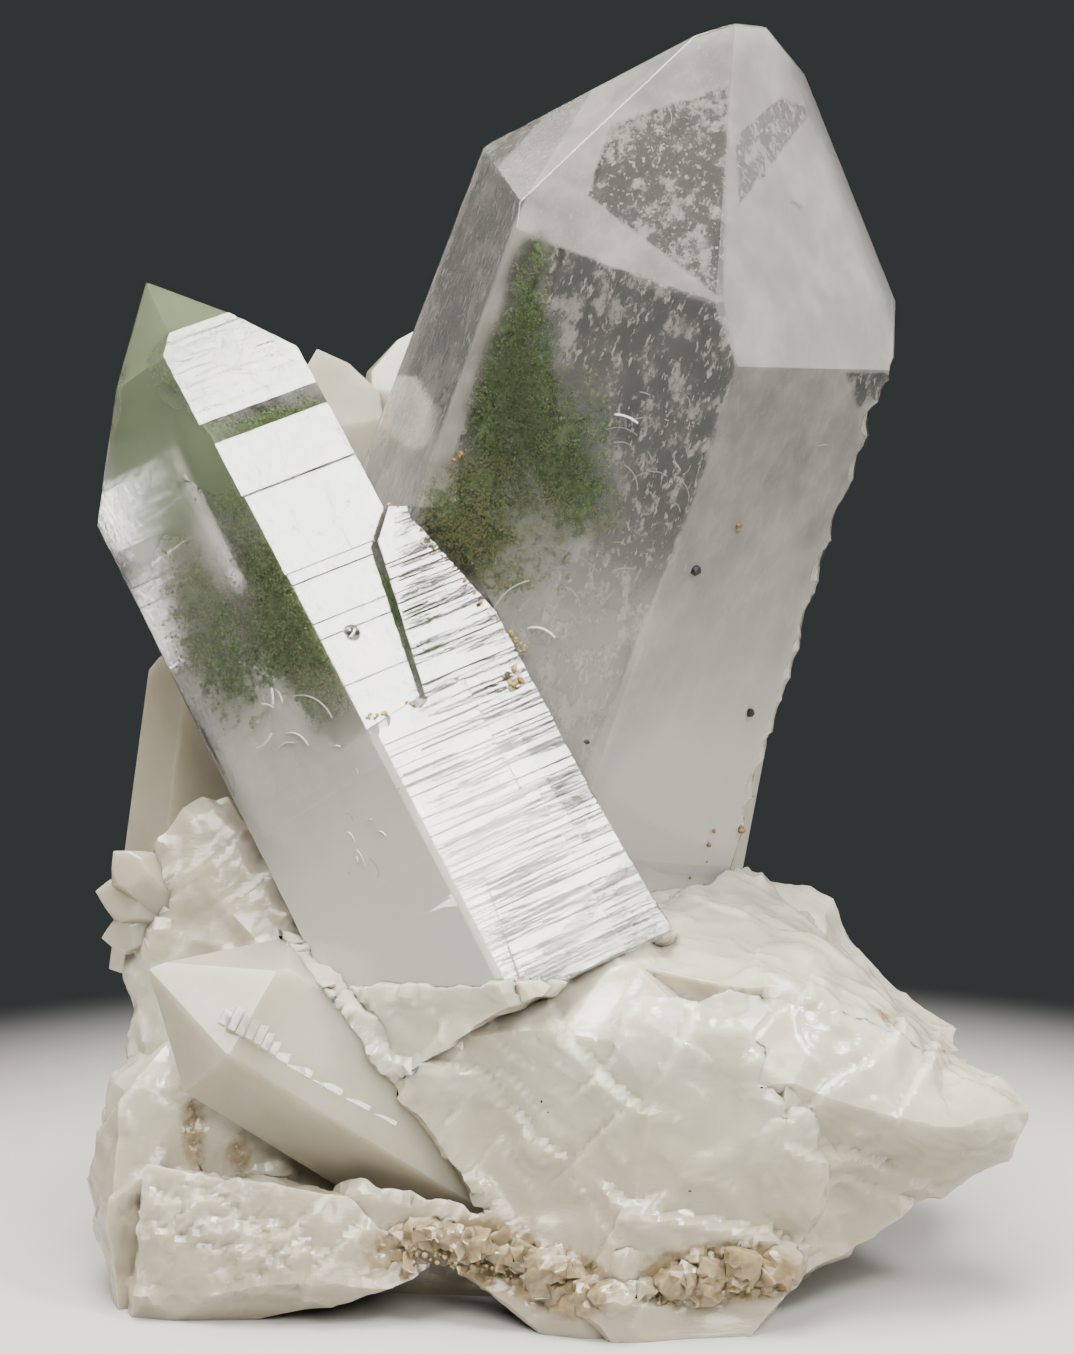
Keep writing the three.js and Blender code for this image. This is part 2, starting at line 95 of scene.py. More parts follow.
def settle(piece, name):  # the piece's place goes into its mesh
    pick(piece)
    bpy.ops.object.transform_apply(location=True, rotation=True, scale=True)
    piece.name = name
    piece.data.name = name
    return piece


def copyOf(piece, name):
    other = piece.copy()
    other.data = piece.data.copy()
    other.name = name
    bpy.context.scene.collection.objects.link(other)
    return other


def useModifier(piece, kind, **settings):
    pick(piece)
    modifier = piece.modifiers.new(kind.lower(), kind)
    for name, value in settings.items():
        setattr(modifier, name, value)
    bpy.ops.object.modifier_apply(modifier=modifier.name)


def combine(piece, other, how, solver="EXACT", overlapping=False):
    useModifier(piece, "BOOLEAN", operation=how, object=other, solver=solver, use_self=overlapping)
    bpy.data.objects.remove(other)


def joinPieces(pieces, name):
    pick(*pieces)
    bpy.ops.object.join()
    pieces[0].name = name
    pieces[0].data.name = name
    return pieces[0]


def mergePoints(piece, distance=0.0005 * mm):
    editMode(piece)
    bpy.ops.mesh.remove_doubles(threshold=distance)
    objectMode()


def addBlock(name, middle, axes, size):  # a cube stretched to a size along three given directions
    startClean()
    bpy.ops.mesh.primitive_cube_add(size=mm)
    block = bpy.context.object
    turn = Matrix(axes).transposed().to_4x4()
    block.matrix_world = Matrix.Translation(place(middle)) @ turn @ Matrix.Diagonal((*size, 1))
    return settle(block, name)


def addPebble(name, chance, radius, at, detail=1, squash=(1, 1)):  # a turned and squashed rough ball
    startClean()
    bpy.ops.mesh.primitive_ico_sphere_add(
        subdivisions=detail, radius=radius * mm, location=place(at),
        rotation=[chance.uniform(0, 3) for _ in range(3)])
    pebble = bpy.context.object
    if squash != (1, 1):
        pebble.scale = [chance.uniform(*squash) for _ in range(3)]
    return settle(pebble, name)


# Node trees, for shaders and for geometry

def addNode(tree, kind, inputs=(), **settings):
    node = tree.nodes.new(kind)
    for name, setting in settings.items():
        setattr(node, name, setting)
    for key, value in dict(inputs).items():
        if isinstance(value, bpy.types.NodeSocket):
            tree.links.new(value, node.inputs[key])
        else:
            node.inputs[key].default_value = value
    return node


def maths(tree, operation, *values, clamp=False):
    node = addNode(tree, "ShaderNodeMath", dict(enumerate(values)), operation=operation, use_clamp=clamp)
    return node.outputs[0]


def mathsFunction(operation):
    return lambda tree, *values, **settings: maths(tree, operation, *values, **settings)


plus, minus, times, timesPlus, larger, smaller = (
    mathsFunction(operation)
    for operation in ("ADD", "SUBTRACT", "MULTIPLY", "MULTIPLY_ADD", "MAXIMUM", "MINIMUM"))


def vectorMaths(tree, operation, a, b=None, scale=None):
    inputs = {0: a}
    if b is not None:
        inputs[1] = b
    if scale is not None:
        inputs["Scale"] = scale
    node = addNode(tree, "ShaderNodeVectorMath", inputs, operation=operation)
    return node.outputs["Value" if operation in ("DOT_PRODUCT", "LENGTH", "DISTANCE") else "Vector"]


def ramp(tree, value, start, end, low=0.0, high=1.0):  # low at start, high at end
    return addNode(tree, "ShaderNodeMapRange", {
        "Value": value, "From Min": start, "From Max": end, "To Min": low, "To Max": high,
    }, interpolation_type="SMOOTHSTEP").outputs["Result"]


def noise(tree, vector, size, detail=3.0, roughness=0.55, **settings):
    return addNode(tree, "ShaderNodeTexNoise", {
        "Vector": vector, "Scale": 1 / size, "Detail": detail, "Roughness": roughness,
    }, **settings).outputs["Fac"]


def stretched(tree, vector, amounts):  # the pattern is squeezed by these amounts
    return vectorMaths(tree, "MULTIPLY", vector, amounts)


def mixNumbers(tree, factor, a, b):
    return addNode(tree, "ShaderNodeMix", {"Factor": factor, 2: a, 3: b}).outputs[0]


def partsOf(tree, vector):
    return addNode(tree, "ShaderNodeSeparateXYZ", {0: vector}).outputs


def mixColours(tree, factor, a, b):
    node = addNode(tree, "ShaderNodeMix", {"Factor": factor}, data_type="RGBA")
    for key, colour in ((6, a), (7, b)):
        if isinstance(colour, bpy.types.NodeSocket):
            tree.links.new(colour, node.inputs[key])
        else:
            node.inputs[key].default_value = (*colour, 1)
    return node.outputs[2]


def shaderGroup(name, build, numbers):  # a group that is given a place and some numbers
    tree = bpy.data.node_groups.new(name, "ShaderNodeTree")
    tree.interface.new_socket("Place", in_out="INPUT", socket_type=vector)
    for socket in numbers:
        tree.interface.new_socket(socket, in_out="INPUT", socket_type=number)
    made = build(tree, tree.nodes.new("NodeGroupInput").outputs)
    for socket, (kind, _) in made.items():
        tree.interface.new_socket(socket, in_out="OUTPUT", socket_type=kind)
    results = tree.nodes.new("NodeGroupOutput").inputs
    for socket, (_, value) in made.items():
        tree.links.new(value, results[socket])
    return tree


def useGroup(tree, group, inputs):
    return addNode(tree, "ShaderNodeGroup", inputs, node_tree=group).outputs


number, vector, colour = "NodeSocketFloat", "NodeSocketVector", "NodeSocketColor"


# Quartz geometry: prism faces every 60 degrees round the long axis, and terminal faces above them

terminalAngle = 38.21
gaugeDepth = 10  # how far below its tip a crystal's face distances are measured

tallCrystal = {
    "tip": (11.83, 6.08, 66.51), "leanRight": 18.6, "leanForward": 10.2, "turn": -12.6, "taper": 2.04,
    "faceDistances": (10.36, 10.82, 11.23, 7.4, 8.6, 10.74),
    "tipOffsets": (-0.11, -1.83, 1.49, 0, -1.04, 1.45),
    "length": 51,
}

leaningCrystal = {
    "tip": (-21.29, 9.28, 51.8), "leanRight": -28.76, "leanForward": -17.04, "turn": 35.13, "taper": 0.86,
    "faceDistances": (4.94, 5.98, 5.63, 5.63, 7.69, 4.87),
    "tipOffsets": (0.95, -0.13, 0, 0, -1.28, 0.44),
    "length": 44, "rootPoint": (-11.1, -3.9, 16.2), "rootNormal": (0.062, -0.174, -0.983),
}

lyingCrystal = {
    "tip": (-19.9, -5.1, 17.7), "leanRight": -55.6, "leanForward": 7.8, "turn": 23, "taper": 0.4,
    "faceDistances": (3.95, 4.7, 4.2, 4.0, 3.9, 3.85),
    "tipOffsets": (0, 0.5, 0, 0, 0.1, 0),
    "length": 22, "gauge": 8, "rootPoint": (-13, -2.9, 18.8), "rootNormal": (0.79, 0.18, 0.58),
}


def crystalAxes(crystal):
    right, forward, spin = (math.radians(crystal[k]) for k in ("leanRight", "leanForward", "turn"))
    along = Vector((
        math.sin(right) * math.cos(forward),
        -math.sin(forward),
        math.cos(right) * math.cos(forward),
    ))
    across = Vector((math.cos(right), 0, -math.sin(right)))
    out = across.cross(along)
    outward = out * math.cos(spin) + across * math.sin(spin)
    sideways = across * math.cos(spin) - out * math.sin(spin)
    return along, outward, sideways


def faceNormal(crystal, k):
    _, outward, sideways = crystalAxes(crystal)
    angle = math.radians(60 * k)
    return outward * math.cos(angle) + sideways * math.sin(angle)


def crystalPlanes(crystal, inset=0.0):
    along, _, _ = crystalAxes(crystal)
    tip = Vector(crystal["tip"])
    taper = math.radians(crystal["taper"])
    steep = math.radians(terminalAngle)
    gauge = tip - along * crystal.get("gauge", gaugeDepth)
    planes = []
    for k in range(6):
        normal = faceNormal(crystal, k)
        leaning = normal * math.cos(taper) + along * math.sin(taper)
        planes.append((gauge + normal * crystal["faceDistances"][k] - leaning * inset, leaning))
        capped = normal * math.cos(steep) + along * math.sin(steep)
        planes.append((tip + along * crystal["tipOffsets"][k] - capped * inset, capped))
    planes.append((tip - along * (crystal["length"] - inset), -along))
    if "rootPoint" in crystal:
        normal = Vector(crystal["rootNormal"]).normalized()
        planes.append((Vector(crystal["rootPoint"]) - normal * inset, normal))
    return planes


blockSize = 110  # larger than any crystal, so that only the cut faces are left


def carveBlock(name, planes):
    middle = sum((point for point, _ in planes), Vector()) / len(planes)
    startClean()
    bpy.ops.mesh.primitive_cube_add(size=blockSize * mm, location=place(middle))
    piece = settle(bpy.context.object, name)
    editMode(piece)
    for point, normal in planes:
        bpy.ops.mesh.select_all(action="SELECT")
        bpy.ops.mesh.bisect(
            plane_co=place(point), plane_no=normal, use_fill=True, clear_outer=True, threshold=1e-7)
    objectMode()
    mergePoints(piece)
    return piece


def growCrystal(name, crystal, inset=0.0):
    return carveBlock(name, crystalPlanes(crystal, inset))


# A place in a crystal's own measure: across its front face, into it, and along its axis from the tip
def inCrystal(crystal, across, inwards, below):
    along, outward, sideways = crystalAxes(crystal)
    return Vector(crystal["tip"]) + sideways * across - outward * inwards - along * below


# The same measure in a node tree, from a position in metres
def crystalMeasure(tree, position, crystal):
    along, outward, sideways = crystalAxes(crystal)
    fromTip = vectorMaths(tree, "SUBTRACT", position, tuple(place(crystal["tip"])))
    parts = [
        vectorMaths(tree, "DOT_PRODUCT", fromTip, tuple(axis / mm))
        for axis in (sideways, -outward, -along)
    ]
    return addNode(tree, "ShaderNodeCombineXYZ", dict(enumerate(parts))).outputs[0]


# How much of a cloud there is at a place: the sum of soft round patches (middle, radii, strength)
def cloudField(tree, measured, patches):
    total = 0.0
    for middle, radii, strength in patches:
        offset = vectorMaths(tree, "SUBTRACT", measured, middle)
        offset = vectorMaths(tree, "DIVIDE", offset, radii)
        distance = vectorMaths(tree, "LENGTH", offset)
        total = plus(tree, total, ramp(tree, distance, 1, 0.15, 0, strength))
    return total


# Crystals: faces cut one by one, growth lines as fine steps round the prism, worn and chipped edges

def softEdges(piece, width=0.06):
    useModifier(
        piece, "BEVEL", width=width * mm, segments=2, limit_method="ANGLE", angle_limit=math.radians(12))


growthLines = {  # fine steps across the faces: from and to below the tip, spacing, depth and seed
    "plates": (12.4, 27, 2.2, 0.02, 9), "low": (28.2, 38, 1.0, 0.04, 5),
    "lowerPlate": (29.2, 38, 1.0, 0.04, 13), "sidePlate": (20.5, 40, 0.9, 0.04, 11),
}


def cutGrowthLines(piece, crystal, lines):
    below, end, spacing, depth, seed = growthLines[lines]
    chance = random.Random(seed)
    along, _, _ = crystalAxes(crystal)
    tip = Vector(crystal["tip"])
    while below < end:
        width = spacing * chance.uniform(0.35, 1.6)
        depthHere = depth * chance.uniform(0.2, 1)
        groove = min(0.3, width * 0.6)
        for level, inwards in ((below, 0), (below + groove * 0.3, depthHere), (below + groove, 0)):
            centre = place(tip - along * level)
            editMode(piece)
            bpy.ops.mesh.bisect(plane_co=centre, plane_no=along, use_fill=False, threshold=1e-7)
            objectMode()
            if inwards:
                for vertex in piece.data.vertices:
                    offset = vertex.co - centre
                    if abs(offset.dot(along)) < 0.002 * mm:
                        vertex.co -= offset.normalized() * inwards * mm
        below += width


def meetingPoint(a, b, c):
    normals = Matrix((a[1], b[1], c[1]))
    return normals.inverted() @ Vector((a[0].dot(a[1]), b[0].dot(b[1]), c[0].dot(c[1])))


def chipBlocks(crystal, k, chips, seed):  # shell-shaped chips out of the edge between faces k and k + 1
    chance = random.Random(seed)
    planes = crystalPlanes(crystal)
    along, _, _ = crystalAxes(crystal)
    first, second = planes[2 * k], planes[2 * ((k + 1) % 6)]
    outward = (first[1] + second[1]).normalized()
    blocks = []
    for below, size, depth in chips:
        edge = meetingPoint(first, second, (Vector(crystal["tip"]) - along * below, along))
        blocks.append(addPebble(
            "chip", chance, size, edge + outward * (size * 0.8 - depth), detail=2, squash=(0.8, 1.3)))
    return joinPieces(blocks, "chips")


plateSteps = [
    {"start": 11.15, "setBack": 0.44, "slope": 12},
    {"start": 14.4, "setBack": 0.18, "slope": 30},
    {"start": 19.1, "setBack": 0.08, "slope": 30},
]

sidePlate = {
    "rise": 0.5, "widthRight": 2.7, "topBelow": 17.65, "topAcross": 4.1,
    "leftBelow": 19, "leftAcross": 2.57, "leftTurn": -11, "topTurn": 21, "hiddenInset": 0.6,
}


def pointOnFront(crystal, below, across=0.0, rise=0.0):
    along, outward, sideways = crystalAxes(crystal)
    widening = math.sin(math.radians(crystal["taper"])) * (below - gaugeDepth)
    reach = crystal["faceDistances"][0] + rise + widening
    return Vector(crystal["tip"]) - along * below + outward * reach + sideways * across


def aboveStep(crystal, step, setBackBelow, inset=0.0):
    along, outward, sideways = crystalAxes(crystal)
    front = crystalPlanes(crystal)[0][1]
    foot = pointOnFront(crystal, step["start"] + inset, 0, -setBackBelow)
    floor = pointOnFront(crystal, step["start"] + inset, 0, -step["setBack"] - inset)
    slope = math.radians(step["slope"])
    riser = outward * math.cos(slope) + along * math.sin(slope)
    reach = 20
    return carveBlock("stepCutter", [
        (floor, -front), (foot, -riser), (foot + along * reach, along), (foot + outward * reach, outward),
        (foot + sideways * reach, sideways), (foot - sideways * reach, -sideways),
    ])


def buildSidePlate(crystal, plate):
    along, outward, sideways = crystalAxes(crystal)
    distances = [d - plate["hiddenInset"] for d in crystal["faceDistances"]]
    distances[0] = crystal["faceDistances"][0] + plate["rise"]
    distances[1] = crystal["faceDistances"][1] + plate["widthRight"]
    shape = dict(crystal, faceDistances=distances, tipOffsets=(9, 9, 0, 0, 0, 9))
    corner = pointOnFront(crystal, plate["topBelow"], plate["topAcross"], plate["rise"])
    edge = pointOnFront(crystal, plate["leftBelow"], plate["leftAcross"], plate["rise"])
    top = Matrix.Rotation(math.radians(-plate["topTurn"]), 3, outward) @ along
    left = Matrix.Rotation(math.radians(plate["leftTurn"]), 3, outward) @ -sideways
    return carveBlock("side_plate", crystalPlanes(shape) + [
        (corner, top), (corner, (along - sideways).normalized()), (edge, left)])


lowerPlate = {
    "rise": 0.4, "topBelow": 27.6, "topAcross": 0.4, "topTurn": 8, "hiddenInset": 0.6, "seed": 17,
    "notches": 7, "notchesAcross": (-4, 3.4), "notchSizes": (0.35, 0.8),
}


def buildLowerPlate(crystal, plate):
    chance = random.Random(plate["seed"])
    along, outward, sideways = crystalAxes(crystal)
    distances = [d - plate["hiddenInset"] for d in crystal["faceDistances"]]
    distances[0] = crystal["faceDistances"][0] + plate["rise"]
    distances[5] = crystal["faceDistances"][5]
    shape = dict(crystal, faceDistances=distances, tipOffsets=(9, 9, 0, 0, 0, 9))
    corner = pointOnFront(crystal, plate["topBelow"], plate["topAcross"], plate["rise"])
    top = Matrix.Rotation(math.radians(plate["topTurn"]), 3, outward) @ along
    piece = carveBlock("lower_plate", crystalPlanes(shape) + [(corner, top)])
    softEdges(piece)
    for _ in range(plate["notches"]):
        edge = corner + top.cross(outward) * chance.uniform(*plate["notchesAcross"])
        notch = addPebble("notch", chance, chance.uniform(*plate["notchSizes"]), edge + outward * 0.2)
        combine(piece, notch, "DIFFERENCE")
    cutGrowthLines(piece, crystal, "lowerPlate")
    return piece


grooveRows = [  # fine wedges across the striated plates, from their left edge to the right
    {"count": 64, "from": 20.6, "to": 30, "left": 2.2, "slant": -0.19, "scatter": 1.6, "length": (0.6, 3.2),
     "height": (0.03, 0.12), "depth": 0.07, "tilt": 14, "rise": 0.5, "seed": 23},
    {"count": 18, "from": 28.8, "to": 38, "left": -3.4, "slant": 0.0, "scatter": 3.6, "length": (1.2, 4.5),
     "height": (0.03, 0.1), "depth": 0.06, "tilt": 12, "rise": 0.4, "seed": 24},
    {"count": 16, "from": 29.6, "to": 38, "left": 1.0, "slant": 0.0, "scatter": 4.2, "length": (0.8, 3.0),
     "height": (0.03, 0.1), "depth": 0.06, "tilt": 12, "rise": 0.5, "seed": 25},
]
pit = {"across": -1.0, "below": 23.1, "radius": 0.36, "width": 0.13}


def cutGrooves(piece, crystal, rows):
    along, outward, sideways = crystalAxes(crystal)
    bars = []
    for row in rows:
        chance = random.Random(row["seed"])
        for _ in range(row["count"]):
            below = chance.uniform(row["from"], row["to"])
            length = chance.uniform(*row["length"])
            left = row["left"] + row["slant"] * (below - row["from"]) + chance.random() * row["scatter"]
            centre = pointOnFront(crystal, below, left + length / 2, row["rise"])
            tilt = Matrix.Rotation(math.radians(row["tilt"]), 3, sideways)
            size = (length, 2 * row["depth"], chance.uniform(*row["height"]))
            bars.append(addBlock("bar", centre, (sideways, tilt @ -outward, tilt @ along), size))
    combine(piece, joinPieces(bars, "bars"), "DIFFERENCE", overlapping=True)


def cutPit(piece, crystal):
    _, outward, _ = crystalAxes(crystal)
    startClean()
    bpy.ops.mesh.primitive_torus_add(
        major_radius=pit["radius"] * mm, minor_radius=pit["width"] * mm, major_segments=14, minor_segments=8)
    ring = bpy.context.object
    turn = outward.to_track_quat("Z", "Y").to_matrix().to_4x4()
    ring.matrix_world = Matrix.Translation(place(pointOnFront(crystal, pit["below"], pit["across"]))) @ turn
    combine(piece, settle(ring, "ring"), "DIFFERENCE")


def cutSteps(piece, inset=0.0):
    for i, step in enumerate(plateSteps):
        below = plateSteps[i + 1]["setBack"] if i + 1 < len(plateSteps) else 0
        combine(piece, aboveStep(leaningCrystal, step, below, inset), "DIFFERENCE")


def buildLeaningCrystal():
    piece = growCrystal("leaning_crystal", leaningCrystal)
    softEdges(piece)
    cutGrowthLines(piece, leaningCrystal, "plates")
    cutGrowthLines(piece, leaningCrystal, "low")
    cutSteps(piece)
    combine(piece, buildLowerPlate(leaningCrystal, lowerPlate), "UNION")
    plate = buildSidePlate(leaningCrystal, sidePlate)
    softEdges(plate)
    cutGrowthLines(plate, leaningCrystal, "sidePlate")
    combine(piece, plate, "UNION")
    cutGrooves(piece, leaningCrystal, grooveRows)
    cutPit(piece, leaningCrystal)
    return piece


tallChips = [  # millimetres below the tip, size, depth
    (15.8, 0.8, 0.3), (17.2, 0.9, 0.35), (18.6, 1.5, 0.6), (20.0, 0.8, 0.4), (21.4, 1.3, 0.5),
    (22.9, 0.9, 0.4), (24.3, 1.8, 0.8), (25.9, 1.0, 0.5), (27.2, 1.4, 0.6), (28.7, 0.9, 0.45),
    (30.1, 1.9, 0.8), (31.6, 1.0, 0.5), (33.0, 1.4, 0.6), (34.7, 0.9, 0.4), (36.2, 1.6, 0.6),
    (38.0, 1.0, 0.4), (39.8, 1.3, 0.45), (41.8, 0.9, 0.35),
]


def buildTallCrystal():
    piece = growCrystal("tall_crystal", tallCrystal)
    softEdges(piece)
    combine(piece, chipBlocks(tallCrystal, 1, tallChips, 3), "DIFFERENCE", overlapping=True)
    return piece


ridges = [  # small steps that face the window lamp: across and below the tip, length, height
    (-0.7, 3.9, 0.8, 0.4), (-0.5, 4.4, 1.3, 0.4), (-0.3, 4.9, 1.7, 0.42), (-0.1, 5.4, 2.0, 0.4),
    (-0.1, 5.9, 2.0, 0.42), (-0.25, 6.4, 1.7, 0.4), (-0.5, 6.9, 1.2, 0.4), (-0.8, 7.5, 0.7, 0.7),
    (-0.95, 8.6, 0.45, 1.4), (-0.95, 10.2, 0.35, 1.8), (-0.9, 12.0, 0.28, 1.6), (-0.85, 13.7, 0.2, 1.4),
]
ridgeThickness, ridgeSunk = 0.34, 0.12


def buildLyingCrystal():
    piece = growCrystal("lying_crystal", lyingCrystal)
    softEdges(piece)
    along, _, _ = crystalAxes(lyingCrystal)
    facing = (direction(0, camera["elevation"]) + direction(*lights["window"]["towards"])).normalized()
    flat = facing.cross(along).normalized()
    blocks = []
    for across, below, length, height in ridges:
        middle = pointOnFront(lyingCrystal, below, across, -ridgeSunk)
        size = (length, height, ridgeThickness)
        blocks.append(addBlock("ridge", middle, (flat, facing.cross(flat), facing), size))
    combine(piece, joinPieces(blocks, "ridges"), "UNION", overlapping=True)
    return piece


smallCrystals = {  # tip, how it leans to the right and forward, its turn, radius and length
    "back_crystal_1": ((-12, 15.4, 47.5), -8, -4, 32, 3.3, 34),
    "back_crystal_2": ((-5.9, 19.2, 48.6), 4, -8, -20, 3.2, 32),
    "back_crystal_3": ((-17.4, 10.3, 33.8), 7, -3, 14, 2.9, 20),
    "rear_crystal_1": ((10.4, 24.6, 29.5), 14, -28, 8, 3.6, 19),
    "rear_crystal_2": ((-13.2, 21.6, 28.4), -24, -30, 40, 3.3, 18),
    "rear_crystal_3": ((-1.6, 26.4, 24.6), -6, -34, 5, 2.7, 14),
    "flank_point_1": ((-23.3, 1.9, 20.2), -76, 18, 12, 1.6, 4),
    "flank_point_2": ((-22.3, 1.8, 22.4), -42, 12, 5, 1.3, 4),
    "flank_point_3": ((-23, 1.7, 17.7), -100, 20, 0, 1.1, 4),
}


def evenCrystal(tip, leanRight, leanForward, turn, radius, length):
    return {
        "tip": tip, "leanRight": leanRight, "leanForward": leanForward, "turn": turn, "length": length,
        "taper": 1, "gauge": 2 * radius,
        "faceDistances": [part * radius for part in (1, 0.94, 1.05, 1, 0.96, 1.03)],
        "tipOffsets": [part * radius for part in (0, 0.3, 0, 0.2, 0, 0.35)],
    }


tall = buildTallCrystal()
leaning = buildLeaningCrystal()
lying = buildLyingCrystal()
small = [growCrystal(name, evenCrystal(*sizes)) for name, sizes in smallCrystals.items()]
for piece in small:
    softEdges(piece)
print("crystals grown")


# The milky base: the whole cluster without its crystals, broken into shells and ledges

def copyOfNode(name, nodeName):
    pick(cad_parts[nodeName])
    bpy.ops.object.duplicate()
    piece = bpy.context.object
    piece.parent = None
    for key in list(piece.keys()):
        del piece[key]
    piece.name = name
    mergePoints(piece)
    return piece


def newGeometryTree(name):
    tree = bpy.data.node_groups.new(name, "GeometryNodeTree")
    tree.interface.new_socket("Geometry", in_out="INPUT", socket_type="NodeSocketGeometry")
    tree.interface.new_socket("Geometry", in_out="OUTPUT", socket_type="NodeSocketGeometry")
    return tree, tree.nodes.new("NodeGroupInput").outputs[0], tree.nodes.new("NodeGroupOutput").inputs[0]


breaks = [  # ledges: which way they climb, spacing, height, sharpness, and how they wander
    {"climb": (0.34, -0.1, 0.93), "spacing": 5.2, "height": 0.55, "sharp": 0.06, "wander": 14, "sway": 1.8},
    {"climb": (-0.75, 0.25, 0.6), "spacing": 3.3, "height": 0.38, "sharp": 0.07, "wander": 9, "sway": 1.8},
    {"climb": (0.5, -0.5, 0.7), "spacing": 1.5, "height": 0.18, "sharp": 0.14, "wander": 4, "sway": 1.6},
]
fillGap = {"reach": 1.2, "full": 0.1, "least": 0.1, "most": 0.6, "ragged": 2.0}  # round the crystals
stainPatches = [  # middle, radii and strength, on the low rims and in the cracks of the front
    ((-4, -9.2, 3.8), (6.5, 4, 2.6), 1.3), ((1.6, -10.6, 2.6), (4, 4, 2.2), 1.3),
    ((9.5, -11, 3.2), (6, 4, 2.4), 1.3), ((-17.7, -4.9, 9), (1.2, 2, 3.2), 0.6),
    ((-15.3, -5.6, 7.6), (1.4, 2.6, 2.4), 0.6), ((17.8, -3.6, 14.6), (2, 2.5, 1.6), 0.45),
]
sugaryPatches = [  # rough white breaks, written in the same way
    ((-17.5, -6.5, 5.4), (5, 4, 3), 1.6), ((-13.5, -7.5, 3.6), (5, 4, 3), 1.4),
    ((-21, -3, 4), (3, 4, 5), 0.8), ((22, -3, 11), (4, 4, 3), 0.6), ((-16, -6, 1.8), (8, 5, 2.4), 1.2),
]
earthGrain = {
    "patches": stainPatches, "size": 0.8, "detail": 3, "roughness": 0.75, "height": 2.4, "crest": 0}
brokenGrain = {
    "patches": sugaryPatches, "size": 1.3, "detail": 4, "roughness": 0.7, "height": 2.2, "crest": 0.5}
breaksSunk = 0.15


def breakShells(piece, crystals):
    tree, geometry, result = newGeometryTree("breakShells")
    position = addNode(tree, "GeometryNodeInputPosition").outputs[0]
    inMm = vectorMaths(tree, "SCALE", position, scale=1 / mm)
    height, crest = 0.0, 0.0
    for level in breaks:
        climbed = vectorMaths(tree, "DOT_PRODUCT", inMm, level["climb"])
        phase = maths(tree, "DIVIDE", climbed, level["spacing"])
        wander = noise(tree, inMm, level["wander"], 1)
        phase = timesPlus(tree, wander, level["sway"], phase)
        step = maths(tree, "FRACT", phase)
        rise = maths(tree, "DIVIDE", step, 1 - level["sharp"])
        fall = maths(tree, "DIVIDE", minus(tree, 1, step), level["sharp"])
        there = ramp(tree, noise(tree, inMm, level["spacing"] * 1.6, 1), 0.42, 0.58)
        ledge = times(tree, smaller(tree, rise, fall), there)
        height = timesPlus(tree, ledge, level["height"], height)
        crest = larger(tree, crest, ramp(tree, ledge, 0.9, 1, 0, 0.6))
    height = minus(tree, height, breaksSunk)
    source = vectorMaths(tree, "ADD", inMm, tuple(footprintCentre))
    for grain in (earthGrain, brokenGrain):
        patches = cloudField(tree, source, grain["patches"])
        lumps = minus(tree, noise(tree, inMm, grain["size"], grain["detail"], grain["roughness"]), 0.5)
        lumps = times(tree, lumps, smaller(tree, patches, 1))
        height = timesPlus(tree, lumps, grain["height"], height)
        crest = larger(tree, crest, times(tree, patches, grain["crest"]))
    around = addNode(tree, "GeometryNodeObjectInfo", {"Object": crystals}, transform_space="ORIGINAL")
    near = addNode(tree, "GeometryNodeProximity", {"Geometry": around.outputs["Geometry"]})
    near = ramp(tree, near.outputs["Distance"], fillGap["reach"] * mm, fillGap["full"] * mm)
    lap = noise(tree, inMm, fillGap["ragged"], 3)
    lap = ramp(tree, lap, 0.35, 0.65, fillGap["least"], fillGap["most"])
    height = mixNumbers(tree, near, height, lap)
    height = times(tree, height, ramp(tree, partsOf(tree, inMm)[2], 0.3, 2))  # the foot stays flat
    normal = addNode(tree, "GeometryNodeInputNormal").outputs[0]
    offset = vectorMaths(tree, "SCALE", normal, scale=times(tree, height, mm))
    moved = addNode(tree, "GeometryNodeSetPosition", {"Geometry": geometry, "Offset": offset})
    stored = addNode(tree, "GeometryNodeStoreNamedAttribute", {
        "Geometry": moved.outputs[0], "Name": "crest", "Value": crest}, data_type="FLOAT", domain="POINT")
    tree.links.new(stored.outputs[0], result)
    useModifier(piece, "NODES", node_group=tree)


fillers = [  # middle and radii of lumps that close the deep cracks
    ((12.4, -9.0, 8.2), (2.2, 1.3, 4.2)), ((-7.5, -6.6, 5.2), (3, 1.6, 2)),
]
cutGrown, sidePlateGrown = 0.03, 0.05  # how far the cuts for the crystals reach past them
baredBy = 1.2  # and past the front faces of the lying crystal


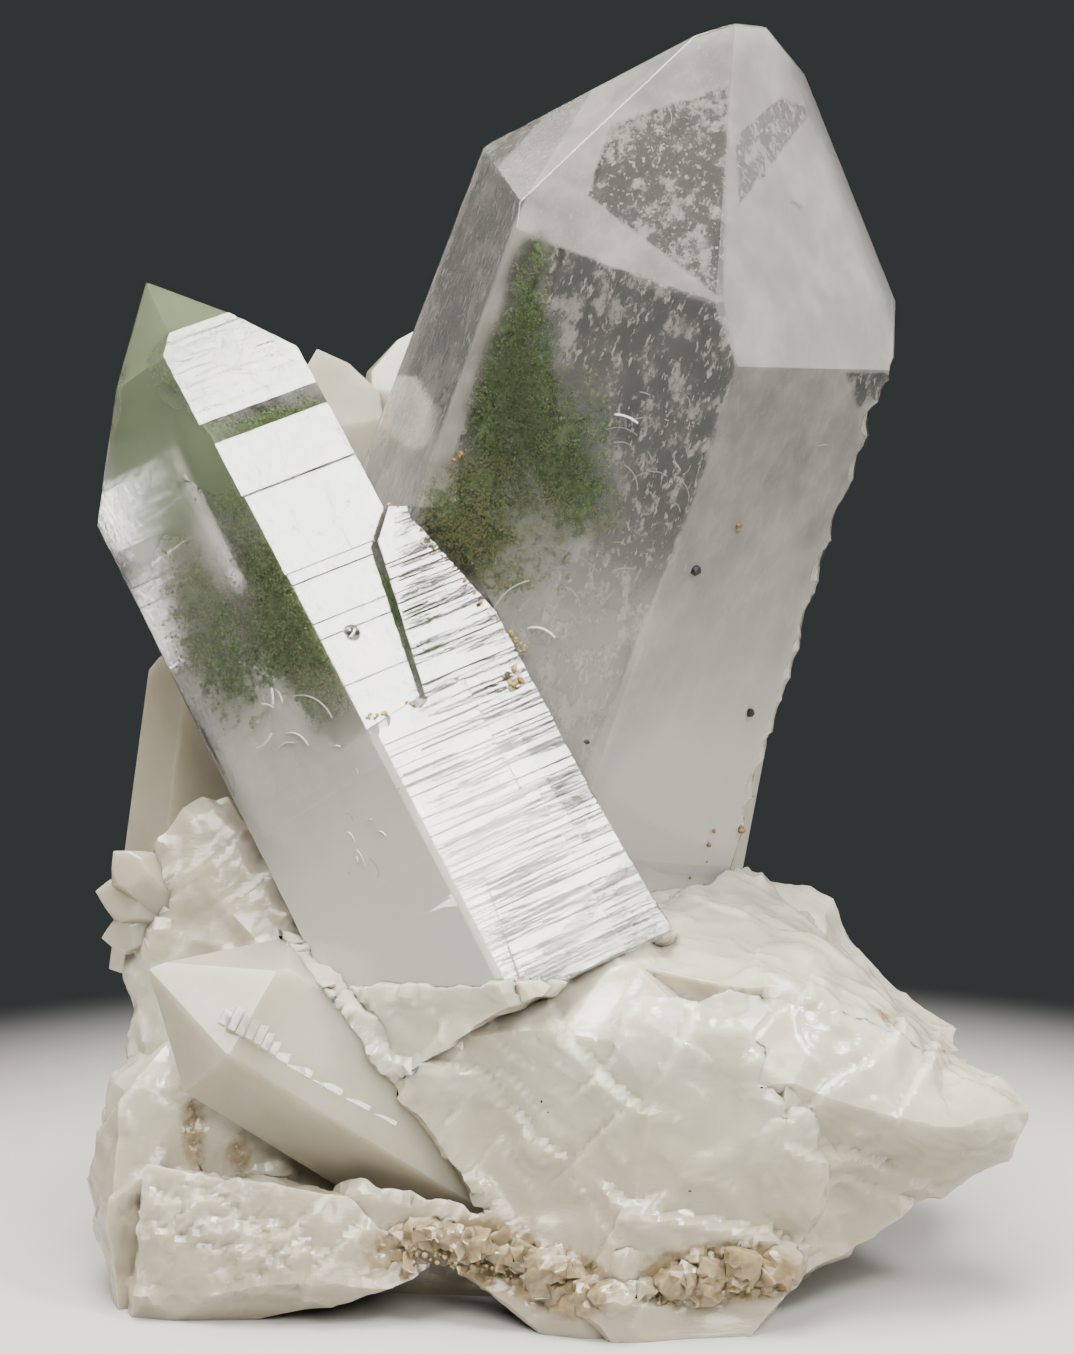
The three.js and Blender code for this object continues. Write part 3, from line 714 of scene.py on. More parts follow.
def buildBase():
    piece = copyOfNode("milky_base", "quartz_cluster")
    for middle, radii in fillers:
        startClean()
        bpy.ops.mesh.primitive_ico_sphere_add(subdivisions=2, radius=mm, location=place(middle))
        lump = bpy.context.object
        lump.scale = radii
        combine(piece, settle(lump, "lump"), "UNION", "MANIFOLD")
    distances = [
        distance + baredBy * (k in (0, 1, 5)) for k, distance in enumerate(lyingCrystal["faceDistances"])]
    crystals = [tallCrystal, leaningCrystal, dict(lyingCrystal, faceDistances=distances)]
    crystals += [evenCrystal(*sizes) for sizes in smallCrystals.values()]
    solids = [growCrystal("cutter", crystal, -cutGrown) for crystal in crystals]
    widened = {key: sidePlate[key] + sidePlateGrown for key in ("rise", "widthRight")}
    solids.append(buildSidePlate(leaningCrystal, dict(sidePlate, **widened)))
    near = joinPieces([copyOf(solid, "near") for solid in solids], "near")
    for solid in solids:
        combine(piece, solid, "DIFFERENCE", "MANIFOLD")
    useModifier(
        piece, "REMESH", mode="SHARP", octree_depth=8, scale=0.6, sharpness=1.0,
        use_remove_disconnected=False)
    breakShells(piece, near)
    bpy.data.objects.remove(near)
    pick(piece)
    bpy.ops.object.shade_smooth_by_angle(angle=math.radians(30))
    print("base broken", len(piece.data.polygons))
    return piece


base = buildBase()


# Inside the crystals: nested closed forms that carry milky clouds, pale veils that are partly painted
# reflection, and green haze

def newMaterial(name):
    material = bpy.data.materials.new(name)
    material.use_nodes = True
    tree = material.node_tree
    return material, tree, tree.nodes["Principled BSDF"].inputs


def objectPlace(tree):
    return addNode(tree, "ShaderNodeTexCoord").outputs["Object"]


def placeInMm(tree):
    return vectorMaths(tree, "SCALE", objectPlace(tree), scale=1 / mm)


cloudLook = {
    "darkGreen": (0.09, 0.16, 0.05), "green": (0.22, 0.32, 0.14), "haze": (0.36, 0.43, 0.27),
    "white": (0.98, 0.95, 0.86), "grey": (0.93, 0.91, 0.84),
}


def buildMineralCloud(tree, given):
    where = given["Place"]
    billow = noise(tree, stretched(tree, where, (1, 1, 0.6)), 7, 3)
    depth = timesPlus(tree, minus(tree, billow, 0.5), given["Wobble"], given["Below"])
    milk = times(tree, ramp(tree, depth, given["Start"], given["Full"]), given["Most"])
    fine = noise(tree, where, 0.42, 4, 0.65)
    clumps = noise(tree, where, 1.3, 3)
    speckle = minus(tree, plus(tree, fine, clumps), 1)
    speckle = timesPlus(tree, speckle, 3.2, given["Green"])
    green = times(tree, ramp(tree, speckle, 0.5, 1.6), ramp(tree, given["Green"], 0.03, 0.3))
    green = times(tree, green, 0.85)
    haze = larger(tree, ramp(tree, given["Green"], 0.0, 1.4, 0, 0.5), given["Haze"])
    clear = 1.0
    for cover in (milk, green, haze, given["VeilAndReflection"]):
        clear = times(tree, clear, minus(tree, 1, cover))
    shade = ramp(tree, noise(tree, where, 0.5, 3, 0.7), 0.35, 0.65)
    greens = mixColours(tree, shade, cloudLook["darkGreen"], cloudLook["green"])
    greens = mixColours(tree, ramp(tree, green, 0, 0.3), cloudLook["haze"], greens)
    whites = mixColours(tree, noise(tree, where, 6, 2), cloudLook["white"], cloudLook["grey"])
    tint = mixColours(tree, ramp(tree, plus(tree, green, haze), 0, 0.35), whites, greens)
    return {"Colour": (colour, tint), "Amount": (number, minus(tree, 1, clear))}


mineralCloud = shaderGroup("mineralCloud", buildMineralCloud, [
    "Below", "Start", "Full", "Most", "Wobble", "Green", "Haze", "VeilAndReflection"])


# 1 inside a flat shape with corners given as across and below, 0 outside it
def insideCorners(tree, across, below, corners, softness):
    middle = [sum(corner[i] for corner in corners) / len(corners) for i in (0, 1)]
    nearest = 100.0
    for i, (x, z) in enumerate(corners):
        x2, z2 = corners[(i + 1) % len(corners)]
        length = math.hypot(x2 - x, z2 - z)
        normal = ((z2 - z) / length, (x - x2) / length)
        if (middle[0] - x) * normal[0] + (middle[1] - z) * normal[1] < 0:
            normal = (-normal[0], -normal[1])
        distance = timesPlus(tree, across, normal[0], -(x * normal[0] + z * normal[1]))
        distance = timesPlus(tree, below, normal[1], distance)
        nearest = smaller(tree, nearest, distance)
    return ramp(tree, nearest, -softness, softness)


tallVeilAndReflection = {  # clear windows by their corners, as across and below the tip, in a pale cover that is partly milky veil and partly painted reflection of light inside the crystal
    "windows": [
        [(-4.5, 7.7), (0.2, 4.3), (4.5, 13.0), (-3.9, 11.0)],
        [(1.5, 6.3), (2.4, 4.5), (3.9, 4.9), (3.2, 9.2)],
        [(-4.6, 13.6), (4.7, 13.3), (6.5, 15.9), (6.8, 23.2), (6.4, 42), (-6, 42), (-5.6, 22)],
        [(11.0, 16.1), (13.6, 16.0), (13.4, 17.1), (12.0, 18.0)],
    ],
    "softness": 0.12, "pale": 0.44, "tick": 0.5, "leftEdge": -6.7, "left": 0.2,
    "least": 0.12, "most": 0.46,
}
leaningVeilAndReflection = {
    "windows": [[(-3.2, 5), (4, 5), (4, 24), (-3.2, 24)]],
    "softness": 0.5, "pale": 0.3, "tick": 0.2, "leftEdge": -4.8, "left": 0.32, "least": 0.04, "most": 0.3,
}


# Painted reflection: the pale cover outside the windows stands partly for milky veil and partly for light
# reflected inside the crystal
def veilAndReflectionField(tree, measured, veilAndReflection, green):
    across, inwards, below = partsOf(tree, measured)
    inside = 0.0
    wavering = noise(tree, measured, 1.2, 4, 0.7)
    wavering = minus(tree, wavering, 0.5)
    x = timesPlus(tree, wavering, 0.5, across)
    z = timesPlus(tree, wavering, 0.5, below)
    for corners in veilAndReflection["windows"]:
        inside = larger(tree, inside, insideCorners(tree, x, z, corners, veilAndReflection["softness"]))
    pale = times(tree, minus(tree, 1, inside), veilAndReflection["pale"])
    leftSide = ramp(tree, across, veilAndReflection["leftEdge"] + 0.1, veilAndReflection["leftEdge"] - 0.1)
    pale = mixNumbers(tree, leftSide, pale, veilAndReflection["left"])
    drift = noise(tree, measured, 3.2, 2)
    pale = times(tree, pale, ramp(tree, drift, 0.3, 0.7, 0.8, 1.15))
    mottle = noise(tree, stretched(tree, measured, (1, 1, 0.6)), 0.9, 4, 0.75)
    mottle = timesPlus(tree, drift, 0.4, minus(tree, mottle, 0.2))
    mottle = ramp(tree, mottle, 0.45, 0.67, veilAndReflection["least"], veilAndReflection["most"])
    inWindow = timesPlus(tree, inside, 0.75, 0.25)
    pale = timesPlus(tree, mottle, inWindow, pale)
    ticks = noise(tree, stretched(tree, measured, (1, 1, 0.35)), 0.24, 3, 0.7)
    ticks = ramp(tree, ticks, 0.55, 0.64, 0, veilAndReflection["tick"])
    amount = times(tree, larger(tree, pale, ticks), ramp(tree, inwards, 3, 1))  # only near the front
    return times(tree, amount, ramp(tree, green, 0.1, 0.7, 1, 0.12), clamp=True)


tallGreen = [  # middle as across, inwards and below, then radii and strength
    ((-5.2, -10, 15.4), (1.7, 4, 3.6), 0.8), ((-4.2, -10, 19.4), (2.8, 4, 4.2), 1.1),
    ((-3.6, -10, 22.6), (3.6, 4, 4.2), 1.2), ((-1.8, -10, 25.2), (4.8, 4, 4.4), 0.75),
    ((1.4, -10, 25.4), (4.2, 4, 5.0), 0.6), ((-4.6, -10, 28.0), (3.8, 4, 3.8), 0.8),
    ((-1.4, -10, 30.2), (5.4, 4, 3.8), 0.7), ((-0.4, -10, 21), (3.2, 4, 4.4), 0.5),
    ((-4.4, -10, 30.6), (3.4, 4, 3.2), 0.5),
]
leaningGreen = [
    ((-2.8, -4.8, 8.5), (2.3, 2.4, 5.5), 0.8), ((-3.2, -4.4, 13), (2.5, 2.6, 5), 1.4),
    ((-3.4, -4.2, 18), (2.8, 2.8, 5), 1.7), ((-3.7, -3.8, 22), (3.3, 3.3, 4.6), 1.9),
    ((-3.4, -4.2, 25.8), (3.2, 3.2, 3.6), 1.3), ((-6.0, 0, 19.5), (4.2, 4.4, 8), 1.0),
    ((-5, -1.4, 8.5), (4.5, 4.5, 9), 0.38),
    ((0.3, -4.6, 12.0), (8, 4, 2.6), 1.9), ((1.5, -5, 27.5), (5, 2.4, 4.5), 1.0),
    ((2.6, -5, 23.5), (2.4, 2.4, 6), 1.5), ((-1, -2, 3.5), (6, 7, 7), 0.4),
]
leaningHaze = [  # the smooth pale green of the tip, written in the same way
    ((-1, -2, 3.5), (6, 7, 7), 0.5), ((-5, -2, 9.5), (4.5, 5, 7), 0.45), ((-6.8, 0, 14), (5, 5, 8), 0.2),
    ((-3.2, -4.4, 12), (2.6, 2.6, 6), 0.45),
]

clouds = {  # each layer lies deeper, and its milk starts and is full at these depths below the tip
    "tall": {
        "crystal": tallCrystal, "green": tallGreen, "haze": [], "veilAndReflection": tallVeilAndReflection, "wobble": 8,
        "sideAcross": 8, "sideRaise": 6,
        "layers": [
            {"inset": 0.12, "start": 33, "full": 44, "most": 1.0, "green": 0, "veiledAndReflecting": True},
            {"inset": 0.8, "start": 30, "full": 41, "most": 0.95, "green": 1},
            {"inset": 2.6, "start": 27, "full": 38, "most": 1.0, "green": 0.9},
        ],
    },
    "leaning": {
        "crystal": leaningCrystal, "green": leaningGreen, "haze": leaningHaze, "veilAndReflection": leaningVeilAndReflection,
        "wobble": 6, "sideAcross": 30, "sideRaise": 0,
        "layers": [
            {"inset": 0.12, "start": 23.5, "full": 34, "most": 1.0, "green": 0, "veiledAndReflecting": True},
            {"inset": 0.8, "start": 21, "full": 31, "most": 1.0, "green": 1},
        ],
    },
}


def cloudMaterial(name, cloud, layer):
    material, tree, shader = newMaterial(name)
    measured = crystalMeasure(tree, objectPlace(tree), cloud["crystal"])
    across, _, below = partsOf(tree, measured)
    side = ramp(tree, across, cloud["sideAcross"] - 1.5, cloud["sideAcross"] + 1.5, 0, cloud["sideRaise"])
    field = cloudField(tree, measured, cloud["green"])
    green = times(tree, field, layer["green"])
    veilAndReflection = veilAndReflectionField(tree, measured, cloud["veilAndReflection"], field) if layer.get("veiledAndReflecting") else 0.0
    haze = cloudField(tree, measured, cloud["haze"]) if layer["inset"] < 1 else 0.0
    made = useGroup(tree, mineralCloud, {
        "Place": measured, "Below": plus(tree, below, side), "Start": layer["start"],
        "Full": layer["full"], "Most": layer["most"], "Wobble": cloud["wobble"], "Green": green,
        "Haze": haze, "VeilAndReflection": veilAndReflection,
    })
    tree.links.new(made["Amount"], shader["Alpha"])
    tree.links.new(made["Colour"], shader["Base Color"])
    shader["Roughness"].default_value = 0.9
    shader["Specular IOR Level"].default_value = 0
    return material


shells = []
for name, cloud in clouds.items():
    for i, layer in enumerate(cloud["layers"]):
        shell = growCrystal(f"{name}_cloud_{i + 1}", cloud["crystal"], layer["inset"])
        if name == "tall":
            combine(shell, chipBlocks(tallCrystal, 1, tallChips, 3), "DIFFERENCE", overlapping=True)
        elif layer["inset"] < 0.44:
            cutSteps(shell, layer["inset"])
        shell.data.materials.append(cloudMaterial(f"{name}Cloud{i + 1}", cloud, layer))
        shells.append(shell)
print("clouds made")


# Chlorite: thousands of tiny green flakes just under the faces

tallChlorite = {
    "look": "tallChlorite", "crystal": tallCrystal, "patches": tallGreen, "seed": 7, "perSquareMm": 360,
    "inset": 0.3, "depth": 1.6, "flake": 0.062, "yellowFrom": 24,
}
leaningChlorite = {
    "look": "leaningChlorite", "crystal": leaningCrystal, "patches": leaningGreen, "seed": 21,
    "perSquareMm": 320, "inset": 0.5, "depth": 1.2, "flake": 0.062, "yellowFrom": 40,
}
chloriteColours = {"dark": (0.075, 0.13, 0.045), "pale": (0.2, 0.28, 0.13), "yellow": (0.32, 0.3, 0.11)}


def addFlake():
    startClean()
    bpy.ops.mesh.primitive_cone_add(
        vertices=4, radius1=mm, radius2=0, depth=0.6 * mm, location=(0, 0, 0))
    flake = settle(bpy.context.object, "flake")
    editMode(flake)
    bpy.ops.mesh.quads_convert_to_tris()
    objectMode()
    return flake


def randomNumber(tree, seed, low=0.0, high=1.0):
    return addNode(
        tree, "FunctionNodeRandomValue", {2: low, 3: high, "Seed": seed}, data_type="FLOAT").outputs[1]


def scatterFlakes(name, cloud):
    piece = growCrystal(name, cloud["crystal"], cloud["inset"])
    seed = cloud["seed"]
    tree, geometry, result = newGeometryTree(name + "Scatter")
    position = addNode(tree, "GeometryNodeInputPosition").outputs[0]
    measured = crystalMeasure(tree, position, cloud["crystal"])
    field = cloudField(tree, measured, cloud["patches"])
    clumps = noise(tree, measured, 0.85, 4, 0.6)
    density = ramp(tree, timesPlus(tree, minus(tree, clumps, 0.5), 3.4, field), 0.35, 1.7)
    density = times(tree, density, ramp(tree, field, 0.02, 0.3))
    points = addNode(tree, "GeometryNodeDistributePointsOnFaces", {
        "Mesh": geometry, "Density": cloud["perSquareMm"] / mm ** 2, "Seed": seed})
    missed = maths(tree, "GREATER_THAN", randomNumber(tree, seed + 5), density)
    kept = addNode(tree, "GeometryNodeDeleteGeometry", {
        "Geometry": points.outputs["Points"], "Selection": missed}, domain="POINT")
    depth = maths(tree, "POWER", randomNumber(tree, seed + 1), 1.7)
    depth = times(tree, depth, -cloud["depth"] * mm)
    lowered = addNode(tree, "GeometryNodeSetPosition", {
        "Geometry": kept.outputs[0],
        "Offset": vectorMaths(tree, "SCALE", points.outputs["Normal"], scale=depth)})
    flake = addFlake()
    shape = addNode(tree, "GeometryNodeObjectInfo", {"Object": flake}, transform_space="ORIGINAL")
    turned = addNode(tree, "FunctionNodeRandomValue", {
        0: (0.0, 0.0, 0.0), 1: (6.28, 6.28, 6.28), "Seed": seed + 2}, data_type="FLOAT_VECTOR")
    sized = randomNumber(tree, seed + 3, cloud["flake"] * 0.6, cloud["flake"] * 1.6)
    flakes = addNode(tree, "GeometryNodeInstanceOnPoints", {
        "Points": lowered.outputs[0], "Instance": shape.outputs["Geometry"],
        "Rotation": turned.outputs[0], "Scale": sized})
    stored = addNode(tree, "GeometryNodeStoreNamedAttribute", {
        "Geometry": flakes.outputs[0], "Name": "shade", "Value": randomNumber(tree, seed + 4),
    }, data_type="FLOAT", domain="INSTANCE")
    real = addNode(tree, "GeometryNodeRealizeInstances", {"Geometry": stored.outputs[0]})
    tree.links.new(real.outputs[0], result)
    useModifier(piece, "NODES", node_group=tree)
    bpy.data.objects.remove(flake)
    piece.data.materials.clear()
    piece.data.materials.append(paintChlorite(cloud))
    print(name, len(piece.data.polygons))
    return piece


def paintChlorite(cloud):
    material, tree, shader = newMaterial(cloud["look"])
    shade = addNode(tree, "ShaderNodeAttribute", attribute_name="shade").outputs["Fac"]
    measured = crystalMeasure(tree, objectPlace(tree), cloud["crystal"])
    below = partsOf(tree, measured)[2]
    yellow = ramp(tree, below, cloud["yellowFrom"], cloud["yellowFrom"] + 5, 0.0, 0.55)
    yellow = timesPlus(tree, noise(tree, measured, 2.5, 2), 0.4, yellow)
    green = mixColours(tree, shade, chloriteColours["dark"], chloriteColours["pale"])
    tree.links.new(mixColours(tree, yellow, green, chloriteColours["yellow"]), shader["Base Color"])
    shader["Roughness"].default_value = 0.8
    return material


chlorite = [scatterFlakes("tall_chlorite", tallChlorite), scatterFlakes("leaning_chlorite", leaningChlorite)]


# Looks

def buildCrystalSkin(tree, given):
    where = given["Place"]
    lines = noise(tree, stretched(tree, where, (0.05, 0.05, 3.4)), 1, 4, 0.6)
    etched = noise(tree, stretched(tree, where, (1, 1, 0.4)), 0.24, 3, 0.65)
    waves = noise(tree, where, 5, 2)
    height = times(tree, lines, given["Lines"])
    height = timesPlus(tree, etched, given["Etching"], height)
    height = timesPlus(tree, waves, given["Waves"], height)
    streaks = noise(tree, stretched(tree, where, (0.1, 0.1, 3.2)), 1, 4, 0.6)
    streaks = ramp(tree, streaks, 0.5, 0.6)
    across, _, below = partsOf(tree, where)  # the streaks start higher up on the right
    below = timesPlus(tree, across, 2.5, below)
    low = ramp(tree, below, given["Streaks From"], plus(tree, given["Streaks From"], 5))
    streaks = times(tree, times(tree, streaks, low), given["Streaks"])
    height = plus(tree, height, streaks)
    rough = times(tree, ramp(tree, etched, 0.35, 0.7, 0.4, 1.8), given["Roughness"])
    return {"Height": (number, height), "Roughness": (number, rough)}


crystalSkin = shaderGroup("crystalSkin", buildCrystalSkin, [
    "Lines", "Etching", "Waves", "Roughness", "Streaks", "Streaks From"])


stainLook = {"patchSize": 1.6, "dark": (0.12, 0.085, 0.04), "ochre": (0.37, 0.29, 0.17)}


def buildIronStain(tree, given):
    where = given["Place"]
    patches = noise(tree, where, stainLook["patchSize"], 5, 0.7)
    mask = ramp(tree, plus(tree, patches, given["Amount"]), 0.62, 1.05, 0, 0.95)
    tint = mixColours(tree, noise(tree, where, 0.5, 3), stainLook["dark"], stainLook["ochre"])
    return {"Mask": (number, mask), "Colour": (colour, tint)}


ironStain = shaderGroup("ironStain", buildIronStain, ["Amount"])


# low is a darker colour painted on as shade at the upper left and towards the bottom
rockLook = {
    "grey": (0.5, 0.465, 0.37), "pale": (0.66, 0.62, 0.51), "flaw": (0.84, 0.81, 0.72),
    "crest": (0.88, 0.86, 0.79), "low": (0.37, 0.33, 0.25),
}


def buildMilkyRock(tree, given):
    where = given["Place"]
    ripples = addNode(tree, "ShaderNodeTexWave", {
        "Vector": where, "Scale": 0.5, "Distortion": 9.0, "Detail": 3.0, "Detail Scale": 0.6},
        wave_type="RINGS", rings_direction="SPHERICAL").outputs["Fac"]
    flaws = noise(
        tree, stretched(tree, where, (0.7, 1, 1.3)), 1 / 0.45, 5, 0.6, noise_type="RIDGED_MULTIFRACTAL")
    flaws = ramp(tree, flaws, 0.55, 1.0)
    pale = ramp(tree, noise(tree, where, 5, 4), 0.3, 0.7)
    tint = mixColours(tree, pale, rockLook["grey"], rockLook["pale"])
    tint = mixColours(tree, times(tree, flaws, 0.55), tint, rockLook["flaw"])
    tint = mixColours(tree, given["Crest"], tint, rockLook["crest"])
    right, _, up = partsOf(tree, where)
    paintedShade = times(tree, ramp(tree, right, -9, -15), ramp(tree, up, 14, 20, 0, 0.6))
    paintedShade = larger(tree, paintedShade, ramp(tree, up, 16, 3, 0, 0.95))  # painted shade, darker at the left and low down, where the cluster lies in shadow
    tint = mixColours(tree, paintedShade, tint, rockLook["low"])
    scratches = noise(tree, stretched(tree, where, (0.5, 1, 2)), 0.6, 4, 0.7)
    height = timesPlus(tree, ripples, 0.3, times(tree, scratches, 0.6))
    height = timesPlus(tree, flaws, 1.2, height)
    rough = ramp(tree, noise(tree, where, 0.9, 5, 0.6), 0.35, 0.65, 0.06, 0.2)
    return {"Colour": (colour, tint), "Height": (number, height), "Roughness": (number, rough)}


milkyRock = shaderGroup("milkyRock", buildMilkyRock, ["Crest"])


quartz = {"ior": 1.544, "absorbs": (0.93, 0.93, 0.88, 1), "absorption": 8.0}


def addRelief(tree, shader, made, strength, distance):  # bumps and gloss from a group
    bump = addNode(tree, "ShaderNodeBump", {
        "Strength": strength, "Distance": distance * mm, "Height": made["Height"]})
    tree.links.new(bump.outputs[0], shader["Normal"])
    tree.links.new(made["Roughness"], shader["Roughness"])


def paintQuartz(name, crystal, skin):
    material, tree, shader = newMaterial(name)
    measured = crystalMeasure(tree, objectPlace(tree), crystal)
    addRelief(tree, shader, useGroup(tree, crystalSkin, {"Place": measured, **skin}), 0.25, 0.05)
    shader["Base Color"].default_value = (1, 1, 1, 1)
    shader["IOR"].default_value = quartz["ior"]
    shader["Transmission Weight"].default_value = 1
    absorb = addNode(tree, "ShaderNodeVolumeAbsorption", {
        "Color": quartz["absorbs"], "Density": quartz["absorption"]})
    tree.links.new(absorb.outputs[0], tree.nodes["Material Output"].inputs["Volume"])
    return material


def paintMilk(name, look):
    material, tree, shader = newMaterial(name)
    where = placeInMm(tree)
    crest = 0.0
    if look["broken"]:
        crest = addNode(tree, "ShaderNodeAttribute", attribute_name="crest").outputs["Fac"]
    made = useGroup(tree, milkyRock, {"Place": where, "Crest": crest})
    tint = made["Colour"]
    if look["broken"]:
        source = vectorMaths(tree, "ADD", where, tuple(footprintCentre))
        amount = cloudField(tree, source, stainPatches)
        stain = useGroup(tree, ironStain, {"Place": where, "Amount": amount})
        tint = mixColours(tree, stain["Mask"], tint, stain["Colour"])
    tree.links.new(tint, shader["Base Color"])
    addRelief(tree, shader, made, look["bump"], 0.12)
    shader["Subsurface Weight"].default_value = 1
    shader["Subsurface Radius"].default_value = (1, 0.94, 0.82)
    shader["Subsurface Scale"].default_value = look["scatter"] * mm
    shader["IOR"].default_value = quartz["ior"]
    shader["Transmission Weight"].default_value = look["clear"]
    return material


tall.data.materials.append(paintQuartz("tallQuartz", tallCrystal, {
    "Lines": 0.35, "Etching": 0.3, "Waves": 2.0, "Roughness": 0.04, "Streaks": 0.0}))
leaning.data.materials.append(paintQuartz("leaningQuartz", leaningCrystal, {
    "Lines": 0.6, "Etching": 0.7, "Waves": 1.2, "Roughness": 0.1, "Streaks": 1.1, "Streaks From": 27}))
milky = {  # the broken rock reads its crests and its stains, and the crystals have neither
    "lyingQuartz": {"broken": False, "bump": 0.04, "scatter": 4, "clear": 0.3},
    "cloudyQuartz": {"broken": False, "bump": 0.1, "scatter": 3, "clear": 0.3},
    "milkyQuartz": {"broken": True, "bump": 0.4, "scatter": 1.0, "clear": 0.1},
}
milk = {name: paintMilk(name, look) for name, look in milky.items()}
lying.data.materials.append(milk["lyingQuartz"])
for piece in small:
    piece.data.materials.append(milk["cloudyQuartz"])
base.data.materials.clear()
base.data.materials.append(milk["milkyQuartz"])


# Small things: crumbs of stained rock, specks of other minerals, curved white cracks in the crystals

def paintPlain(name, tint, roughness, opacity=1.0):
    material, tree, shader = newMaterial(name)
    where = placeInMm(tree)
    darker = [0.6 * part for part in tint]
    tree.links.new(mixColours(tree, noise(tree, where, 0.3, 3), darker, tint), shader["Base Color"])
    shader["Roughness"].default_value = roughness
    shader["Alpha"].default_value = opacity
    return material


def scatterCrumbs(name, look, tint, roughness, seed, rows):
    chance = random.Random(seed)
    crumbs = []
    for start, end, count, spread, size in rows:
        for _ in range(count):
            at = Vector(start).lerp(Vector(end), chance.random())
            at += Vector([chance.gauss(0, spread) for _ in range(3)])
            radius = size * chance.uniform(0.5, 1.4)
            crumbs.append(addPebble("crumb", chance, radius, at, squash=(0.6, 1.2)))
    piece = joinPieces(crumbs, name)
    piece.data.materials.append(paintPlain(look, tint, roughness))
    return piece


def onTall(*measure):
    return inCrystal(tallCrystal, *measure)


def onLeaning(*measure):
    return inCrystal(leaningCrystal, *measure)


crumbRows = {  # colour, roughness and seed, then rows: start, end, how many, how far spread, size
    "stained_crumbs": ("stainedRock", (0.34, 0.25, 0.13), 0.9, 51, [
        ((-7.4, -8.9, 4.2), (-1.9, -9.6, 3), 50, 0.26, 0.13),
        ((-1.9, -9.8, 2.9), (2.6, -11, 2.2), 50, 0.26, 0.13),
        ((5.2, -11.3, 2), (10.8, -10.7, 2.8), 66, 0.26, 0.13),
        ((10.8, -10.6, 2.9), (13.4, -9.2, 3.2), 30, 0.24, 0.12),
        ((-18, -4.9, 10.6), (-17.6, -5.2, 8), 12, 0.12, 0.08),
        ((-15.4, -4.4, 9), (-15.2, -7, 6.9), 12, 0.12, 0.08),
        ((17.2, -3.8, 14.9), (18.6, -3.3, 14.2), 8, 0.3, 0.1),
    ]),
    "seam_crumbs": ("seamRust", (0.46, 0.34, 0.14), 0.8, 52, [
        (onTall(-8.2, -11.2, 29.6), onTall(-5.3, -11.2, 30.8), 26, 0.14, 0.13),
        (onTall(-5.3, -11.2, 30.8), onTall(-1.8, -11.25, 32.6), 26, 0.12, 0.11),
        (onTall(-1.8, -11.3, 32.6), onTall(1.6, -11.3, 34.2), 18, 0.12, 0.12),
        (onLeaning(5.9, -5.5, 28.8), onLeaning(5.9, -5.5, 28.8), 22, 0.3, 0.2),
        (onLeaning(-2.7, -5.2, 27.5), onLeaning(0.4, -5.2, 27.9), 16, 0.1, 0.12),
    ]),
    "dark_specks": ("dark_specks", (0.015, 0.017, 0.02), 0.5, 31, [
        (onTall(8.0, -9.0, 27.2), onTall(8.0, -9.0, 27.2), 2, 0.08, 0.3),
        (onTall(12.4, -2.0, 35.7), onTall(12.4, -2.0, 35.7), 2, 0.05, 0.24),
        (onTall(6.0, -11.3, 37.4), onTall(6.0, -11.3, 37.4), 1, 0, 0.14),
        ((-1.2, -8.2, 12), (9, -10.3, 7), 9, 0.2, 0.07),
        (onLeaning(-1.0, -5.06, 23.1), onLeaning(-1.0, -5.06, 23.1), 9, 0.2, 0.11),
    ]),
    "brown_specks": ("brown_specks", (0.3, 0.16, 0.05), 0.5, 32, [
        (onTall(9.0, -7.1, 24.8), onTall(9.0, -7.1, 24.8), 4, 0.12, 0.16),
        (onTall(-5.45, -10.9, 25.8), onTall(-5.45, -10.9, 25.8), 6, 0.2, 0.16),
        (onTall(12.6, -2.1, 42.5), onTall(12.8, -2.1, 46.4), 7, 0.5, 0.13),
        (onTall(14.0, 0.2, 43.0), onTall(14.0, 0.2, 43.0), 2, 0.1, 0.2),
    ]),
}


def curvedCrack(at, facing, radius, arc, width, spin, lean):  # a thin bent sheet, seen edge on
    startClean()
    bpy.ops.mesh.primitive_cylinder_add(
        vertices=40, radius=radius * mm, depth=width * mm, end_fill_type="NOTHING", location=(0, 0, 0))
    crack = bpy.context.object
    editMode(crack)
    kept = radius * math.cos(math.radians(arc / 2)) * mm
    bpy.ops.mesh.bisect(
        plane_co=(kept, 0, 0), plane_no=(-1, 0, 0), clear_outer=True, use_fill=False, threshold=1e-7)
    objectMode()
    useModifier(crack, "SOLIDIFY", thickness=0.035 * mm, offset=0)
    turn = facing.to_track_quat("Z", "Y").to_matrix() @ Matrix.Rotation(math.radians(spin), 3, "Z")
    turn = turn @ Matrix.Rotation(math.radians(lean), 3, "Y")
    crack.matrix_world = Matrix.Translation(place(at)) @ turn.to_4x4()
    return settle(crack, "crack")


